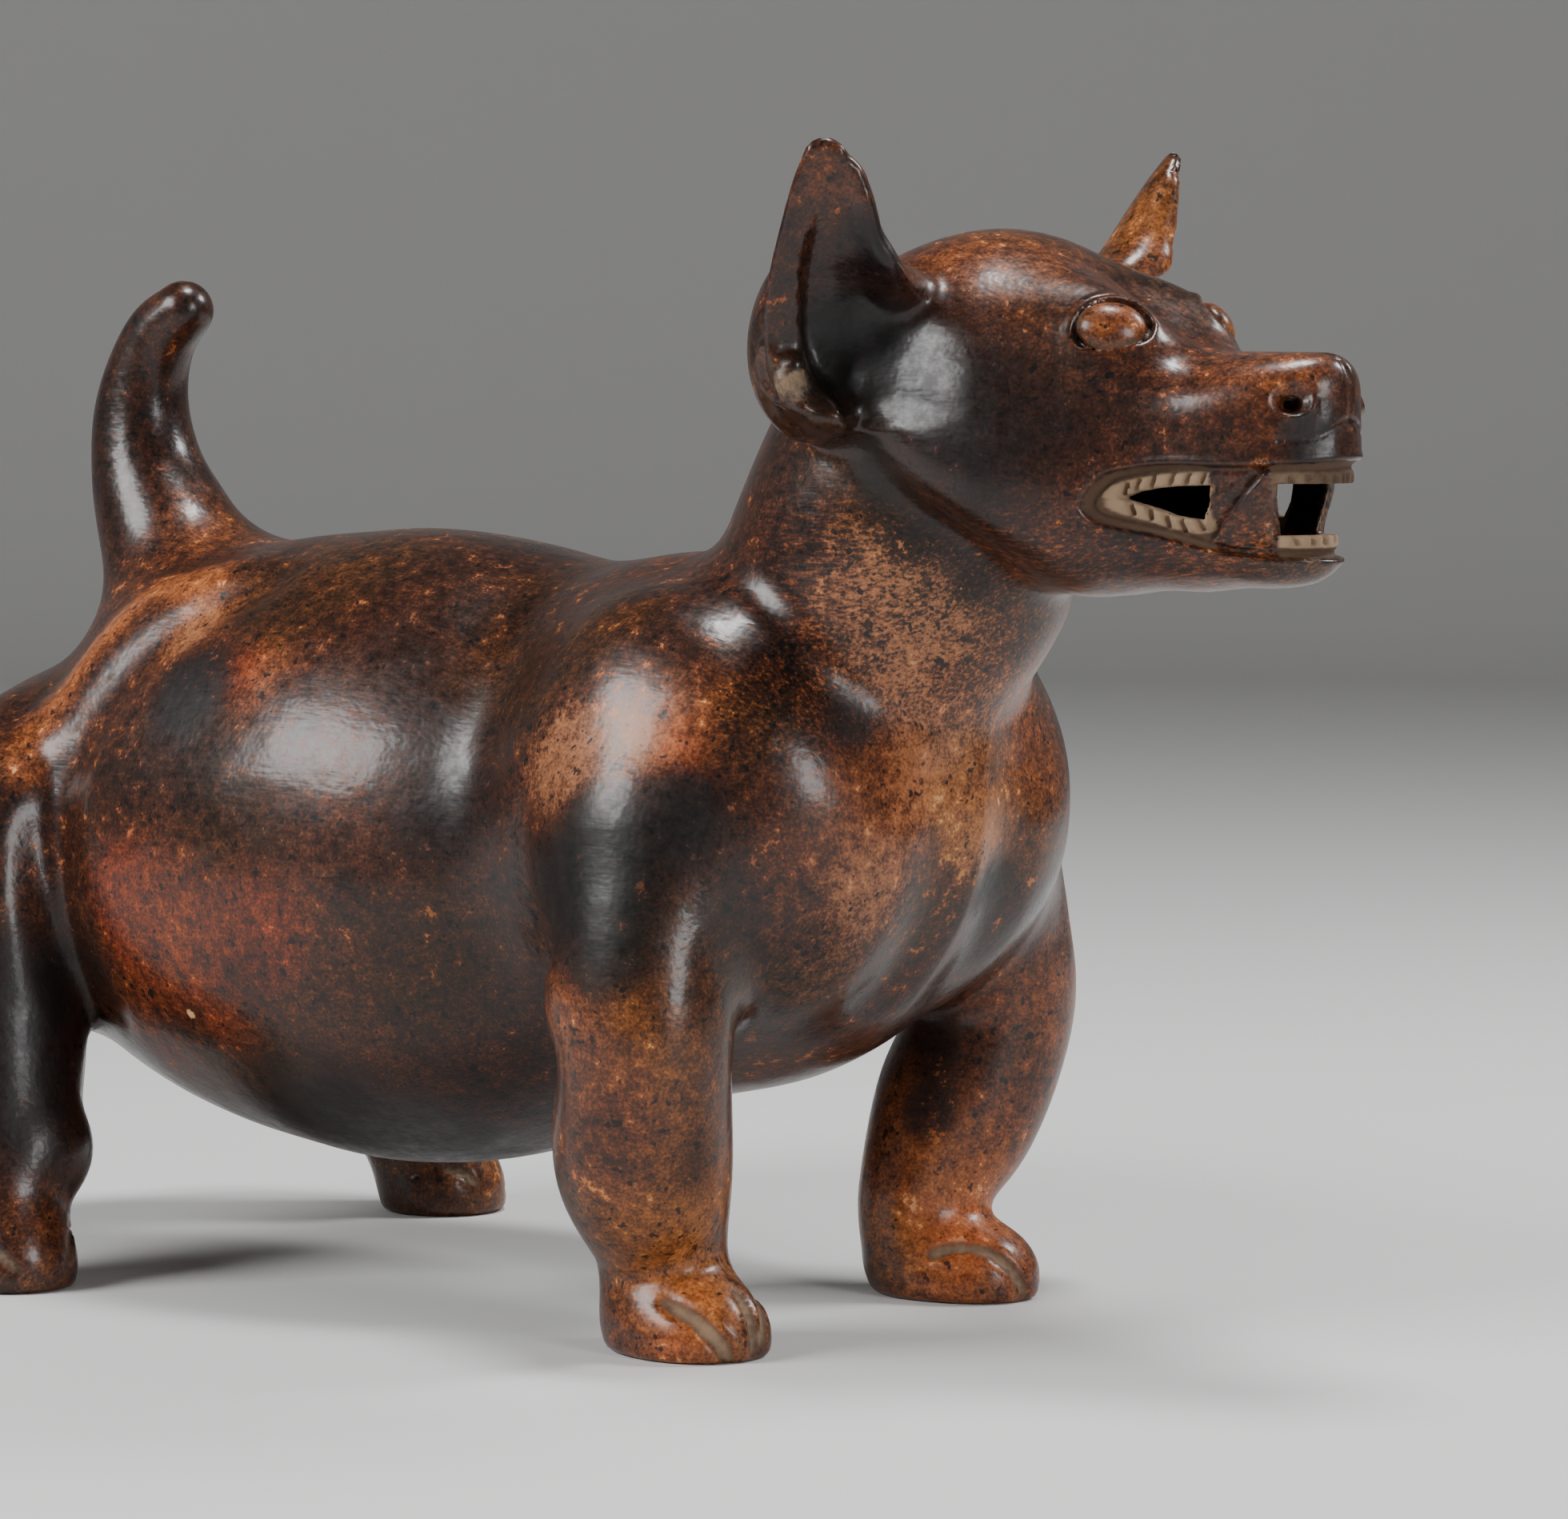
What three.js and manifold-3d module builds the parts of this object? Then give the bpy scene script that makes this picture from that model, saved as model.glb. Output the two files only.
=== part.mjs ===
import * as THREE from 'three';
import { mergeVertices } from 'three/addons/utils/BufferGeometryUtils.js';
import Module from 'manifold-3d';

// A hollow dog of burnished fired clay that stands on four short legs and bares its teeth.
// Millimetres, +Z up, soles on z = 0. The dog looks along +X and +Y is its left side.

// Driving sizes
const HEIGHT = 283; // soles to ear tips, before the tips are rounded
const WALL = 6; // clay around the hollow of the body, neck and skull
const MUZZLE_WALL = 5.6; // clay beside the room between the jaws
const LIP_STEP = 1.8; // how far the teeth lie behind the lips
const FANG_GROOVE = 2.7; // width of the slanting groove in front of each fang
const FANG_GROOVE_DEPTH = 1.6;
const TOOTH_GAP = 1.1; // width of the cut between two teeth
const TOOTH_GAP_HEIGHT = 2.4;
const EYE_GROOVE = 1.8; // width of the groove around each eye
const EYE_GROOVE_DEPTH = 1.6;
const NOSTRIL_DEPTH = 4;
const TOE_GROOVE = 2.6; // width of the cut between two toes
const TOE_GROOVE_DEPTH = 2.2;

// The free form is drawn at this height, and every drawn measure is a share of it
const DRAWN_HEIGHT = 283;
const SCALE = HEIGHT / DRAWN_HEIGHT;

// Facet sizes, in drawn millimetres: each pair is where a stretch starts and its step
const FACETS_LENGTH = [[-203, 14], [-92, 20], [56, 13.5], [110, 11], [176, 7.8], [256, 0]];
const FACETS_SIDE = [[0, 9.8], [39, 11.5], [115, 0]];
const FACETS_HEIGHT = [[-26, 14.2], [88, 15.5], [172, 9.4], [280, 0]];
const EAR_FACETS_ALONG = [[-44, 10.4], [43, 4.6], [66, 0]];
const EAR_FACETS_ACROSS = [[-45, 9], [45, 0]];
const EAR_FACETS_OUT = [[-48, 7], [34, 0]];
const CUP_FACETS_ALONG = [[-24, 9.8], [64, 0]];
const CUP_FACETS_ACROSS = [[-46, 11], [-24, 6.8], [30, 16], [46, 0]];
const CUP_FACETS_OUT = [[-18, 6.4], [14, 16], [46, 0]];
const HOLLOW_FACETS_LENGTH = [[-200, 34], [90, 24], [180, 14], [252, 0]];
const HOLLOW_FACETS_SIDE = [[0, 13.5], [40, 24], [102, 0]];
const HOLLOW_FACETS_HEIGHT = [[8, 29], [158, 18], [278, 0]];
const CORE_FACETS_LENGTH = [[168, 9], [256, 0]];
const CORE_FACETS_SIDE = [[0, 9], [64, 0]];
const CORE_FACETS_HEIGHT = [[166, 10], [276, 0]];
const CORE_BACK = 176; // the core of the head starts here

// Rounded masses of the trunk, one side drawn: centre, half sizes, blend into those before it
// and how far it tips nose down, in degrees
const TRUNK = [
  { name: 'belly', at: [-31, 0, 109], half: [107, 77, 80], blend: 0 },
  { name: 'loin', at: [-86, 0, 110], half: [68, 63, 64], blend: 24 },
  { name: 'back', at: [-44, 0, 137], half: [84, 37, 37], blend: 24, rod: true },
  { name: 'breast', at: [56, 0, 100], half: [50, 50, 45], blend: 20 },
  { name: 'chest', at: [86, 0, 124], half: [55, 57, 54], blend: 32, tip: -6 },
  { name: 'pectoral', at: [94, 27, 124], half: [42, 29, 44], blend: 12 },
  { name: 'shoulder', at: [84, 44, 132], half: [38, 27, 44], blend: 30, tip: -12 },
  { name: 'withers', at: [60, 0, 156], half: [33, 34, 25], blend: 30 },
];
const HIPS = [
  { name: 'rump', at: [-122, 0, 106], half: [54, 57, 46], blend: 0 },
  { name: 'haunch', at: [-133, 46, 101], half: [35, 28, 42], blend: 24 },
  { name: 'croup', at: [-129, 10, 129], half: [32, 34, 24], blend: 16 },
];
const SKULL = [
  { name: 'cranium', at: [146, 0, 223], half: [45, 44, 41], blend: 0 },
  { name: 'cheek', at: [160, 16, 203], half: [38, 23, 25], blend: 20 },
  { name: 'brow', at: [181, 12.6, 235], half: [19.5, 14, 16], blend: 12 },
];
// The edge of the jaw, a slope that cuts off the underside of the skull above the neck
const JAW_EDGE = { at: [146, 198], down: [-0.54, 0.14, -0.83], blend: 7 };

// Limbs are swept along smooth curves through these centres, each with the radius there
const NECK = [[96, 0, 140, 43], [104.5, 0, 163, 39.5], [119.5, 0, 190, 41.5], [130, 0, 216, 38]];
const FRONT_LEG = [
  [90, 57, 118, 25], [93, 66, 92, 22], [94.5, 69, 70, 20.6],
  [88.5, 62, 46, 21], [85, 52, 26, 16], [86, 51, 10, 15],
];
const ELBOW = { at: [81, 76, 84], half: [9.5, 10, 12], blend: 6 };
const FRONT_FOOT = { at: [96.5, 54, 4], half: [20, 17, 16], blend: 8 };
const HIND_LEG = [
  [-133, 57, 108, 30], [-124, 66, 78, 25], [-117, 71, 54, 22],
  [-108, 79, 26, 17.5], [-104, 82, 10, 14.5],
];
const KNEE = { at: [-97, 71, 33], half: [7.5, 10, 10], blend: 9 };
const HIND_FOOT = { at: [-99.5, 83, 4], half: [15.5, 15, 15], blend: 10 };
const TAIL = [
  [-100, 0, 142, 30], [-112, 0, 166, 23], [-123, 0, 186, 18.5], [-130.5, 0, 201, 15.3],
  [-133, 0, 215, 13], [-131, 0, 228, 11], [-125.5, 0, 238.5, 9.4], [-117.5, 0, 245, 7.8],
];
const LIMB_STEPS = 6; // straight steps between two centres
const LIMB_NEAR = 30; // beyond this distance a rough bound is enough

// How softly each part runs into those before it
const JOINS = { hips: 8, neck: 11, head: 8, frontLeg: 12, hindLeg: 7, tail: 18 };

// Muzzle: a long ellipse seen from above, cut off by a roof, a jaw line and a pointed front
const MUZZLE = { at: 193.8, long: 50, wide: 24, blend: 14 };
const MUZZLE_ROOF = { height: 235.6, curve: 70, blend: 9 }; // curve: side squared over its fall
const MUZZLE_JAW = { height: 180.5, curve: 50, blend: 10 };
const CHIN = { at: [226, 0, 190.5], half: [12.6, 13, 7.6], blend: 4 };
// The lower jaw lies further back than the upper one, more so towards the front
const UNDERBITE = { depth: 3.4, from: 205, to: 235, below: 195, above: 205 };
const BROW_VALLEY = { from: [180, 0, 281], to: [216, 0, 257.5], radius: 17, blend: 9 };

// Ear: a leaf from base to tip, flattened across the way that it faces
const EAR_BASE = [137, 51, 232];
const EAR_TIP = [147, 69, 279.3];
const EAR_FACING = 50; // degrees from straight ahead towards the side
const EAR_LEAF = [[-1, 14.5], [8, 16], [20, 14.4], [33, 11.2], [43, 8.2]]; // along the ear, half width
const EAR_TIP_RADIUS = 4.4;
const EAR_FLATNESS = { base: 0.88, leaf: 0.6, from: -2, to: 32 }; // thickness as a share of width
const EAR_EVENNESS = 0.75; // share by which the flattened leaf's distance is made safe
const EAR_BULB = { at: [125.5, 44, 238], half: [17, 14, 24], blend: 5, tip: 8 };

// Along, across and out of the ear, with the radius: its front rim, and the rim's root on the skull
const EAR_FLANGE = [
  [17, 13, 4, 5], [25, 10.8, 7, 4.8], [33, 8.2, 6.6, 4.4], [42, 5.2, 4.5, 3.7], [51.5, 1, 1, 2.9],
];
const EAR_ROOT = [[25, 11.6, 4, 4.2], [19, 14, -2, 6.5], [12.5, 17, -11, 10]];
const EAR_FLANGE_BLEND = 5;
const EAR_ROOT_BLEND = 6;

// The ear's cup: a shallow face, with a deep hollow in it whose rear edge is steep
const EAR_CUP = [
  { along: -14, width: 13, face: 3, edge: 9, floor: 6, front: 13, rise: 12 },
  { along: -7, width: 14.5, face: 1, edge: -0.6, floor: -1.5, front: 16, rise: 10 },
  { along: -2, width: 15, face: 0, edge: -5.3, floor: -5.5, front: 18, rise: 8 },
  { along: 4, width: 15.7, face: -0.5, edge: -7.3, floor: -8, front: 20, rise: 4 },
  { along: 10, width: 16, face: -1, edge: -7.7, floor: -8.5, front: 22, rise: 2 },
  { along: 18, width: 14.8, face: -1, edge: -7.4, floor: -6.8, front: 20, rise: 6 },
  { along: 26, width: 13, face: -0.8, edge: -6.4, floor: -4.2, front: 15, rise: 11 },
  { along: 33, width: 11.4, face: -0.2, edge: -4.6, floor: -2.2, front: 12, rise: 11.5 },
  { along: 41, width: 9, face: 0.6, edge: -1.8, floor: -0.4, front: 9.4, rise: 10 },
  { along: 47, width: 7, face: 1.6, edge: 3, floor: 1, front: 7.4, rise: 7.5 },
  { along: 56, width: 4, face: 5, edge: 12, floor: 5, front: 5, rise: 7 },
];
const EAR_REAR_RISE = 2.2; // how far the face rises to the rear rim
const EAR_FRONT_CURVE = 1.5; // how late the face rises to the front rim
const EAR_CUP_REACH = { at: 20, radius: 40 }; // the cup ends this far from a place along the ear
const LOBE = { along: [7, 10.5], across: [6, 9], chin: [4, 12], tall: 12 }; // left uncut below the rear rim

// Mouth, seen from the side as length and height
const LIPS = [
  [190.6, 200.8], [191.8, 204.1], [196.5, 208.4], [205, 210], [218, 210.3], [250, 211.2],
  [250, 187.6], [228, 187.9], [219, 189.4], [208.6, 193], [196.6, 195.7], [191.8, 198.1],
];
const MUZZLE_MIDDLE = (MUZZLE_ROOF.height + MUZZLE_JAW.height) / 2;
const CHEEK_WINDOW = { back: 197.4, long: 20.2, drop: 5.85, blunt: 0.9, above: 3.3, below: 4.6, slant: 1.4 };
const FRONT_WINDOW = { drop: 7.95, tall: 11.7, backTop: 231, backBottom: 229.8, front: 255 };
const FANG_GROOVE_LINE = { top: [229.4, 209.6], bottom: [216.2, 192.8] };
const UPPER_TEETH = 6;
const LOWER_TEETH = 5;
const MOUTH_ROOM = { back: 193.8, front: 255, side: 30, bottom: 191, top: 208.5 };
const FRONT_TEETH = [-11, -6, -1.5, 3.5, 8.5]; // sideways places of the cuts between them
const FRONT_TOOTH_CUT = { from: 220, to: 260 };

// Eyes and nose
const EYE = { at: [191.8, 19.8, 241.2], half: [10.4, 5.2, 5], turn: 118, lean: 24, facets: [12, 6] };
const NOSTRIL = { at: [236.4, 13.4, 223.6], long: 5.2, tall: 2.6, facets: [10, 7] };
const NOSE_CLEFT = { at: 246, top: 236, bottom: 219, depth: 3, width: 1.6 };

// Cuts between the toes, on a foot centred on its sole: angle from straight ahead, and reach
const TOES = [{ angle: -26, reach: 21 }, { angle: 24, reach: 21 }];
const TOE_ARC = [-0.3, 1.2]; // the cut's start and end round the front of the foot, in radians
const TOE_CLEARANCE = 4; // how far the cutter stands above the foot
const TOE_FACETS = 2;

const FLOOR_BLOCK = { size: [600, 300, 100], at: [0, 0, -50] };

const wasm = await Module();
wasm.setup();

// Smooth joins and cuts of two distances, each blended over a width
function join(a, b, blend) {
  const overlap = Math.max(blend - Math.abs(a - b), 0) / Math.max(blend, 1e-9);
  return Math.min(a, b) - (overlap * overlap * blend) / 4;
}

function clip(a, b, blend) {
  return -join(-a, -b, blend);
}

function ramp(value, from, to) {
  const share = Math.min(Math.max((value - from) / (to - from), 0), 1);
  return share * share * (3 - 2 * share);
}

function ellipsoid(x, y, z, centre, half) {
  const u = (x - centre[0]) / half[0];
  const v = (y - centre[1]) / half[1];
  const w = (z - centre[2]) / half[2];
  const reach = Math.hypot(u, v, w);
  const slope = Math.hypot(u / half[0], v / half[1], w / half[2]);
  return (reach * (reach - 1)) / Math.max(slope, 1e-9);
}

function ellipse(x, y, centre, half) {
  return ellipsoid(x, y, 0, [...centre, 0], [...half, Infinity]);
}

// A rod with round ends whose radius changes evenly from one end to the other
function rod(x, y, z, from, to) {
  const along = [to[0] - from[0], to[1] - from[1], to[2] - from[2]];
  const length = Math.hypot(...along);
  const growth = (to[3] - from[3]) / length;
  const dx = x - from[0];
  const dy = y - from[1];
  const dz = z - from[2];
  const ahead = (dx * along[0] + dy * along[1] + dz * along[2]) / length;
  const aside = Math.sqrt(Math.max(dx * dx + dy * dy + dz * dz - ahead * ahead, 0));
  const lean = Math.sqrt(Math.max(1 - growth * growth, 1e-6));
  const share = Math.min(Math.max((ahead + (aside * growth) / lean) / length, 0), 1);
  return Math.hypot(aside, ahead - share * length) - (from[3] + (to[3] - from[3]) * share);
}

function mass(x, y, z, form) {
  const [cx, cy, cz] = form.at;
  const [hx, hy] = form.half;
  if (form.rod) {
    return rod(x, y, z, [cx - hx + hy, cy, cz, hy], [cx + hx - hy, cy, cz, hy]);
  }
  if (!form.tip) {
    return ellipsoid(x, y, z, form.at, form.half);
  }
  const angle = THREE.MathUtils.degToRad(form.tip);
  const cos = Math.cos(angle);
  const sin = Math.sin(angle);
  const dx = x - cx;
  const dz = z - cz;
  return ellipsoid(dx * cos - dz * sin, y - cy, dx * sin + dz * cos, [0, 0, 0], form.half);
}

function masses(x, y, z, forms) {
  return forms.reduce((near, form) => join(near, mass(x, y, z, form), form.blend), Infinity);
}

// Points along a smooth curve through centres that carry a radius
function sweep(centres) {
  const last = centres.length - 1;
  const beyond = (end, inner) => end.map((value, k) => 2 * value - inner[k]);
  const knots = [beyond(centres[0], centres[1]), ...centres, beyond(centres[last], centres[last - 1])];
  const points = [];
  for (let i = 1; i <= last; i += 1) {
    for (let step = 0; step < LIMB_STEPS; step += 1) {
      const t = step / LIMB_STEPS;
      points.push(knots[i].map((value, k) => {
        const before = knots[i - 1][k];
        const next = knots[i + 1][k];
        const after = knots[i + 2][k];
        const bend = 2 * before - 5 * value + 4 * next - after;
        const twist = 3 * value - before - 3 * next + after;
        return value + (t * (next - before) + t * t * bend + t * t * t * twist) / 2;
      }));
    }
  }
  points.push(centres[last]);
  const middle = [0, 1, 2].map((k) => points.reduce((sum, p) => sum + p[k], 0) / points.length);
  const far = Math.max(...points.map((p) => Math.hypot(...middle.map((m, k) => p[k] - m)) + p[3]));
  return { points, middle, far };
}

function limb(x, y, z, swept) {
  const { points, middle, far } = swept;
  const bound = Math.hypot(x - middle[0], y - middle[1], z - middle[2]) - far;
  if (bound > LIMB_NEAR) {
    return bound;
  }
  let near = Infinity;
  for (let i = 1; i < points.length; i += 1) {
    near = Math.min(near, rod(x, y, z, points[i - 1], points[i]));
  }
  return near;
}

const neckSweep = sweep(NECK);
const frontLegSweep = sweep(FRONT_LEG);
const hindLegSweep = sweep(HIND_LEG);
const tailSweep = sweep(TAIL);

function frontLeg(x, y, z) {
  const leg = join(limb(x, y, z, frontLegSweep), mass(x, y, z, ELBOW), ELBOW.blend);
  return join(leg, mass(x, y, z, FRONT_FOOT), FRONT_FOOT.blend);
}

function hindLeg(x, y, z) {
  const leg = join(limb(x, y, z, hindLegSweep), mass(x, y, z, KNEE), KNEE.blend);
  return join(leg, mass(x, y, z, HIND_FOOT), HIND_FOOT.blend);
}

function muzzle(x, y, z) {
  const side = ellipse(x, y, [MUZZLE.at, 0], [MUZZLE.long, MUZZLE.wide]);
  const roof = z - MUZZLE_ROOF.height + (y * y) / MUZZLE_ROOF.curve;
  const jaw = MUZZLE_JAW.height + (y * y) / MUZZLE_JAW.curve - z;
  const block = clip(clip(side, roof, MUZZLE_ROOF.blend), jaw, MUZZLE_JAW.blend);
  const ahead = (x - UNDERBITE.from) / (UNDERBITE.to - UNDERBITE.from);
  const setBack = UNDERBITE.depth * Math.min(Math.max(ahead, 0), 1);
  const lower = block + setBack * (1 - ramp(z, UNDERBITE.below, UNDERBITE.above));
  return join(lower, mass(x, y, z, CHIN), CHIN.blend);
}

function skull(x, y, z) {
  const valleyEnd = (p) => [...p, BROW_VALLEY.radius];
  const valley = rod(x, y, z, valleyEnd(BROW_VALLEY.from), valleyEnd(BROW_VALLEY.to));
  const { at, down } = JAW_EDGE;
  const belowJaw = (x - at[0]) * down[0] + y * down[1] + (z - at[1]) * down[2];
  const brows = clip(masses(x, y, z, SKULL), -valley, BROW_VALLEY.blend);
  return clip(brows, belowJaw, JAW_EDGE.blend);
}

function head(x, y, z) {
  return join(skull(x, y, z), muzzle(x, y, z), MUZZLE.blend);
}

// The ear's own directions: along to the tip, out of its hollow, and across
const earBase = new THREE.Vector3(...EAR_BASE);
const earAlong = new THREE.Vector3(...EAR_TIP).sub(earBase);
const earLength = earAlong.length();
earAlong.normalize();
const earTurn = THREE.MathUtils.degToRad(EAR_FACING);
const earOut = new THREE.Vector3(Math.cos(earTurn), Math.sin(earTurn), 0);
earOut.addScaledVector(earAlong, -earOut.dot(earAlong)).normalize();
const earAcross = new THREE.Vector3().crossVectors(earOut, earAlong);
const earSweep = sweep([
  ...EAR_LEAF.map(([along, radius]) => [along, 0, 0, radius]),
  [earLength, 0, 0, EAR_TIP_RADIUS],
]);

const flangeSweep = sweep(EAR_FLANGE);
const rootSweep = sweep(EAR_ROOT);
const earFrame = new THREE.Matrix4().makeBasis(earAlong, earAcross, earOut).setPosition(earBase);

// The ear in its own directions, with the round bulb behind it
function ear(along, across, out) {
  const { base, leaf, from, to } = EAR_FLATNESS;
  const flatness = leaf + (base - leaf) * (1 - ramp(along, from, to));
  let near = EAR_EVENNESS * limb(along, across, out / flatness, earSweep);
  near = join(near, limb(along, across, out, flangeSweep), EAR_FLANGE_BLEND);
  near = join(near, limb(along, across, out, rootSweep), EAR_ROOT_BLEND);
  const { x, y, z } = new THREE.Vector3(along, across, out).applyMatrix4(earFrame);
  return join(near, mass(x, y, z, EAR_BULB), EAR_BULB.blend);
}

// One measure of the ear's cup at a place along the ear
function cupMeasure(along, name) {
  const last = EAR_CUP.length - 1;
  let next = EAR_CUP.findIndex((row) => row.along > along);
  next = next < 0 ? last : Math.max(next, 1);
  const from = EAR_CUP[next - 1];
  const to = EAR_CUP[next];
  const share = Math.min(Math.max((along - from.along) / (to.along - from.along), 0), 1);
  return from[name] + (to[name] - from[name]) * share;
}

// The air in front of the ear's face and in its hollow
function earCup(along, across, out) {
  const measure = (name) => cupMeasure(along, name);
  const front = Math.max(across / measure('front'), 0) ** EAR_FRONT_CURVE;
  const rise = measure('rise');
  const rear = EAR_REAR_RISE * Math.max(-across / measure('width'), 0) ** 2;
  const lobe = ramp(-along, -LOBE.along[1], -LOBE.along[0]) * ramp(-across, ...LOBE.across)
    + ramp(-along, ...LOBE.chin);
  const face = measure('face');
  const dish = face + rear + (rise - face) * front + LOBE.tall * lobe - out;
  const floor = measure('floor');
  const hollow = Math.max(floor + (rise - floor) * front - out, measure('edge') - across);
  const reach = Math.hypot(along - EAR_CUP_REACH.at, across, out) - EAR_CUP_REACH.radius;
  return Math.max(Math.min(dish, hollow), reach);
}

// The hollow part of the figure: trunk, neck and head without limbs, tail and ears
function trunkAndHead(x, y, z) {
  let near = join(masses(x, y, z, TRUNK), masses(x, y, z, HIPS), JOINS.hips);
  near = join(near, limb(x, y, z, neckSweep), JOINS.neck);
  return join(near, head(x, y, z), JOINS.head);
}

function outside(x, signedY, z) {
  const y = Math.abs(signedY);
  let near = join(trunkAndHead(x, y, z), frontLeg(x, y, z), JOINS.frontLeg);
  near = join(near, hindLeg(x, y, z), JOINS.hindLeg);
  return join(near, limb(x, y, z, tailSweep), JOINS.tail);
}

// The hollow: a wall's thickness inside the skin
function inside(x, y, z) {
  return trunkAndHead(x, Math.abs(y), z) + WALL / SCALE;
}

// Grid planes along one axis, in stretches of even steps
function planes(stretches) {
  const places = [];
  for (let i = 1; i < stretches.length; i += 1) {
    const [from, step] = stretches[i - 1];
    const width = stretches[i][0] - from;
    const count = Math.max(Math.round(width / step), 1);
    for (let k = 0; k < count; k += 1) {
      places.push(from + (width * k) / count);
    }
  }
  places.push(stretches[stretches.length - 1][0]);
  return places;
}

function mirrored(places) {
  return [...places.slice(1).reverse().map((place) => -place), ...places];
}

// Moves a point onto the surface where a distance is zero
function settle(field, point) {
  const probe = 0.05;
  for (let round = 0; round < 4; round += 1) {
    const [x, y, z] = point;
    const here = field(x, y, z);
    const slope = [
      (field(x + probe, y, z) - field(x - probe, y, z)) / (2 * probe),
      (field(x, y + probe, z) - field(x, y - probe, z)) / (2 * probe),
      (field(x, y, z + probe) - field(x, y, z - probe)) / (2 * probe),
    ];
    const steepness = Math.max(slope[0] ** 2 + slope[1] ** 2 + slope[2] ** 2, 0.04);
    point = point.map((value, k) => value - (here * slope[k]) / steepness);
  }
  return point;
}

// A closed skin around the places where a distance is negative: one point in each grid cell
// that the surface crosses, and a face across each grid edge that it crosses
function skin(field, xs, ys, zs) {
  const sizes = [xs.length, ys.length, zs.length];
  const strides = [sizes[1] * sizes[2], sizes[2], 1];
  const values = new Float64Array(sizes[0] * strides[0]);
  xs.forEach((x, i) => ys.forEach((y, j) => zs.forEach((z, k) => {
    values[i * strides[0] + j * strides[1] + k] = field(x, y, z);
  })));
  const rulers = [xs, ys, zs];
  const pointsOfCell = new Map();
  const positions = [];
  const faces = [];

  // Where the surface crosses one of a cell's twelve edges, or nothing
  function crossing(cell, axis, side) {
    const corner = [...cell];
    corner[(axis + 1) % 3] += side & 1;
    corner[(axis + 2) % 3] += side >> 1;
    const at = corner[0] * strides[0] + corner[1] * strides[1] + corner[2];
    const low = values[at];
    const high = values[at + strides[axis]];
    if (low < 0 === high < 0) {
      return null;
    }
    const place = corner.map((index, k) => rulers[k][index]);
    const step = rulers[axis][corner[axis] + 1] - place[axis];
    place[axis] += (step * low) / (low - high);
    return place;
  }

  // The crossed edges of a cell that lie on one sheet of the surface get one point together
  function cellPoints(cell) {
    const name = cell[0] * strides[0] + cell[1] * strides[1] + cell[2];
    if (pointsOfCell.has(name)) {
      return pointsOfCell.get(name);
    }
    const places = Array.from({ length: 12 }, (_, edge) => crossing(cell, edge >> 2, edge & 3));
    const sheet = places.map((_, edge) => edge);
    const link = (a, b) => {
      const [from, to] = [sheet[a], sheet[b]];
      sheet.forEach((value, edge) => { sheet[edge] = value === from ? to : value; });
    };
    for (let axis = 0; axis < 3; axis += 1) {
      const [p, q] = [(axis + 1) % 3, (axis + 2) % 3];
      for (let face = 0; face < 2; face += 1) {
        const alongP = (offset) => p * 4 + offset + 2 * face;
        const alongQ = (offset) => q * 4 + face + 2 * offset;
        const crossed = [alongP(0), alongP(1), alongQ(0), alongQ(1)].filter((edge) => places[edge]);
        if (crossed.length === 2) {
          link(crossed[0], crossed[1]);
        }
        if (crossed.length === 4) {
          const corner = [...cell];
          corner[axis] += face;
          const inside = values[corner[0] * strides[0] + corner[1] * strides[1] + corner[2]] < 0;
          link(alongP(0), alongQ(inside ? 0 : 1));
          link(alongP(1), alongQ(inside ? 1 : 0));
        }
      }
    }
    const points = Array(12).fill(-1);
    new Set(sheet).forEach((which) => {
      const edges = sheet.map((value, edge) => edge).filter((edge) => sheet[edge] === which && places[edge]);
      if (edges.length === 0) {
        return;
      }
      const middle = [0, 1, 2].map((k) => edges.reduce((sum, e) => sum + places[e][k], 0) / edges.length);
      edges.forEach((edge) => { points[edge] = positions.length / 3; });
      positions.push(...settle(field, middle).map((value) => value * SCALE));
    });
    pointsOfCell.set(name, points);
    return points;
  }

  function gap(a, b) {
    const place = (index, k) => positions[3 * index + k];
    return Math.hypot(...[0, 1, 2].map((k) => place(a, k) - place(b, k)));
  }

  for (let i = 0; i < sizes[0] - 1; i += 1) {
    for (let j = 0; j < sizes[1] - 1; j += 1) {
      for (let k = 0; k < sizes[2] - 1; k += 1) {
        const at = i * strides[0] + j * strides[1] + k;
        for (let axis = 0; axis < 3; axis += 1) {
          const inHere = values[at] < 0;
          const [p, q] = [(axis + 1) % 3, (axis + 2) % 3];
          const atRim = [i, j, k][p] === 0 || [i, j, k][q] === 0;
          if (atRim || inHere === values[at + strides[axis]] < 0) {
            continue;
          }
          const around = [[1, 1], [0, 1], [0, 0], [1, 0]].map(([backP, backQ]) => {
            const cell = [i, j, k];
            cell[p] -= backP;
            cell[q] -= backQ;
            return cellPoints(cell)[axis * 4 + backP + 2 * backQ];
          });
          const [a, b, c, d] = inHere ? around : around.reverse();
          if (gap(a, c) < gap(b, d)) {
            faces.push(a, b, c, a, c, d);
          } else {
            faces.push(b, c, d, b, d, a);
          }
        }
      }
    }
  }
  const geometry = new THREE.BufferGeometry();
  geometry.setAttribute('position', new THREE.Float32BufferAttribute(positions, 3));
  geometry.setIndex(faces);
  return geometry;
}

function solid(geometry) {
  const bare = geometry.clone();
  bare.deleteAttribute('normal');
  bare.deleteAttribute('uv');
  const merged = mergeVertices(bare, 1e-4);
  return new wasm.Manifold(new wasm.Mesh({
    numProp: 3,
    vertProperties: new Float32Array(merged.attributes.position.array),
    triVerts: new Uint32Array(merged.index.array),
  }));
}

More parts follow.
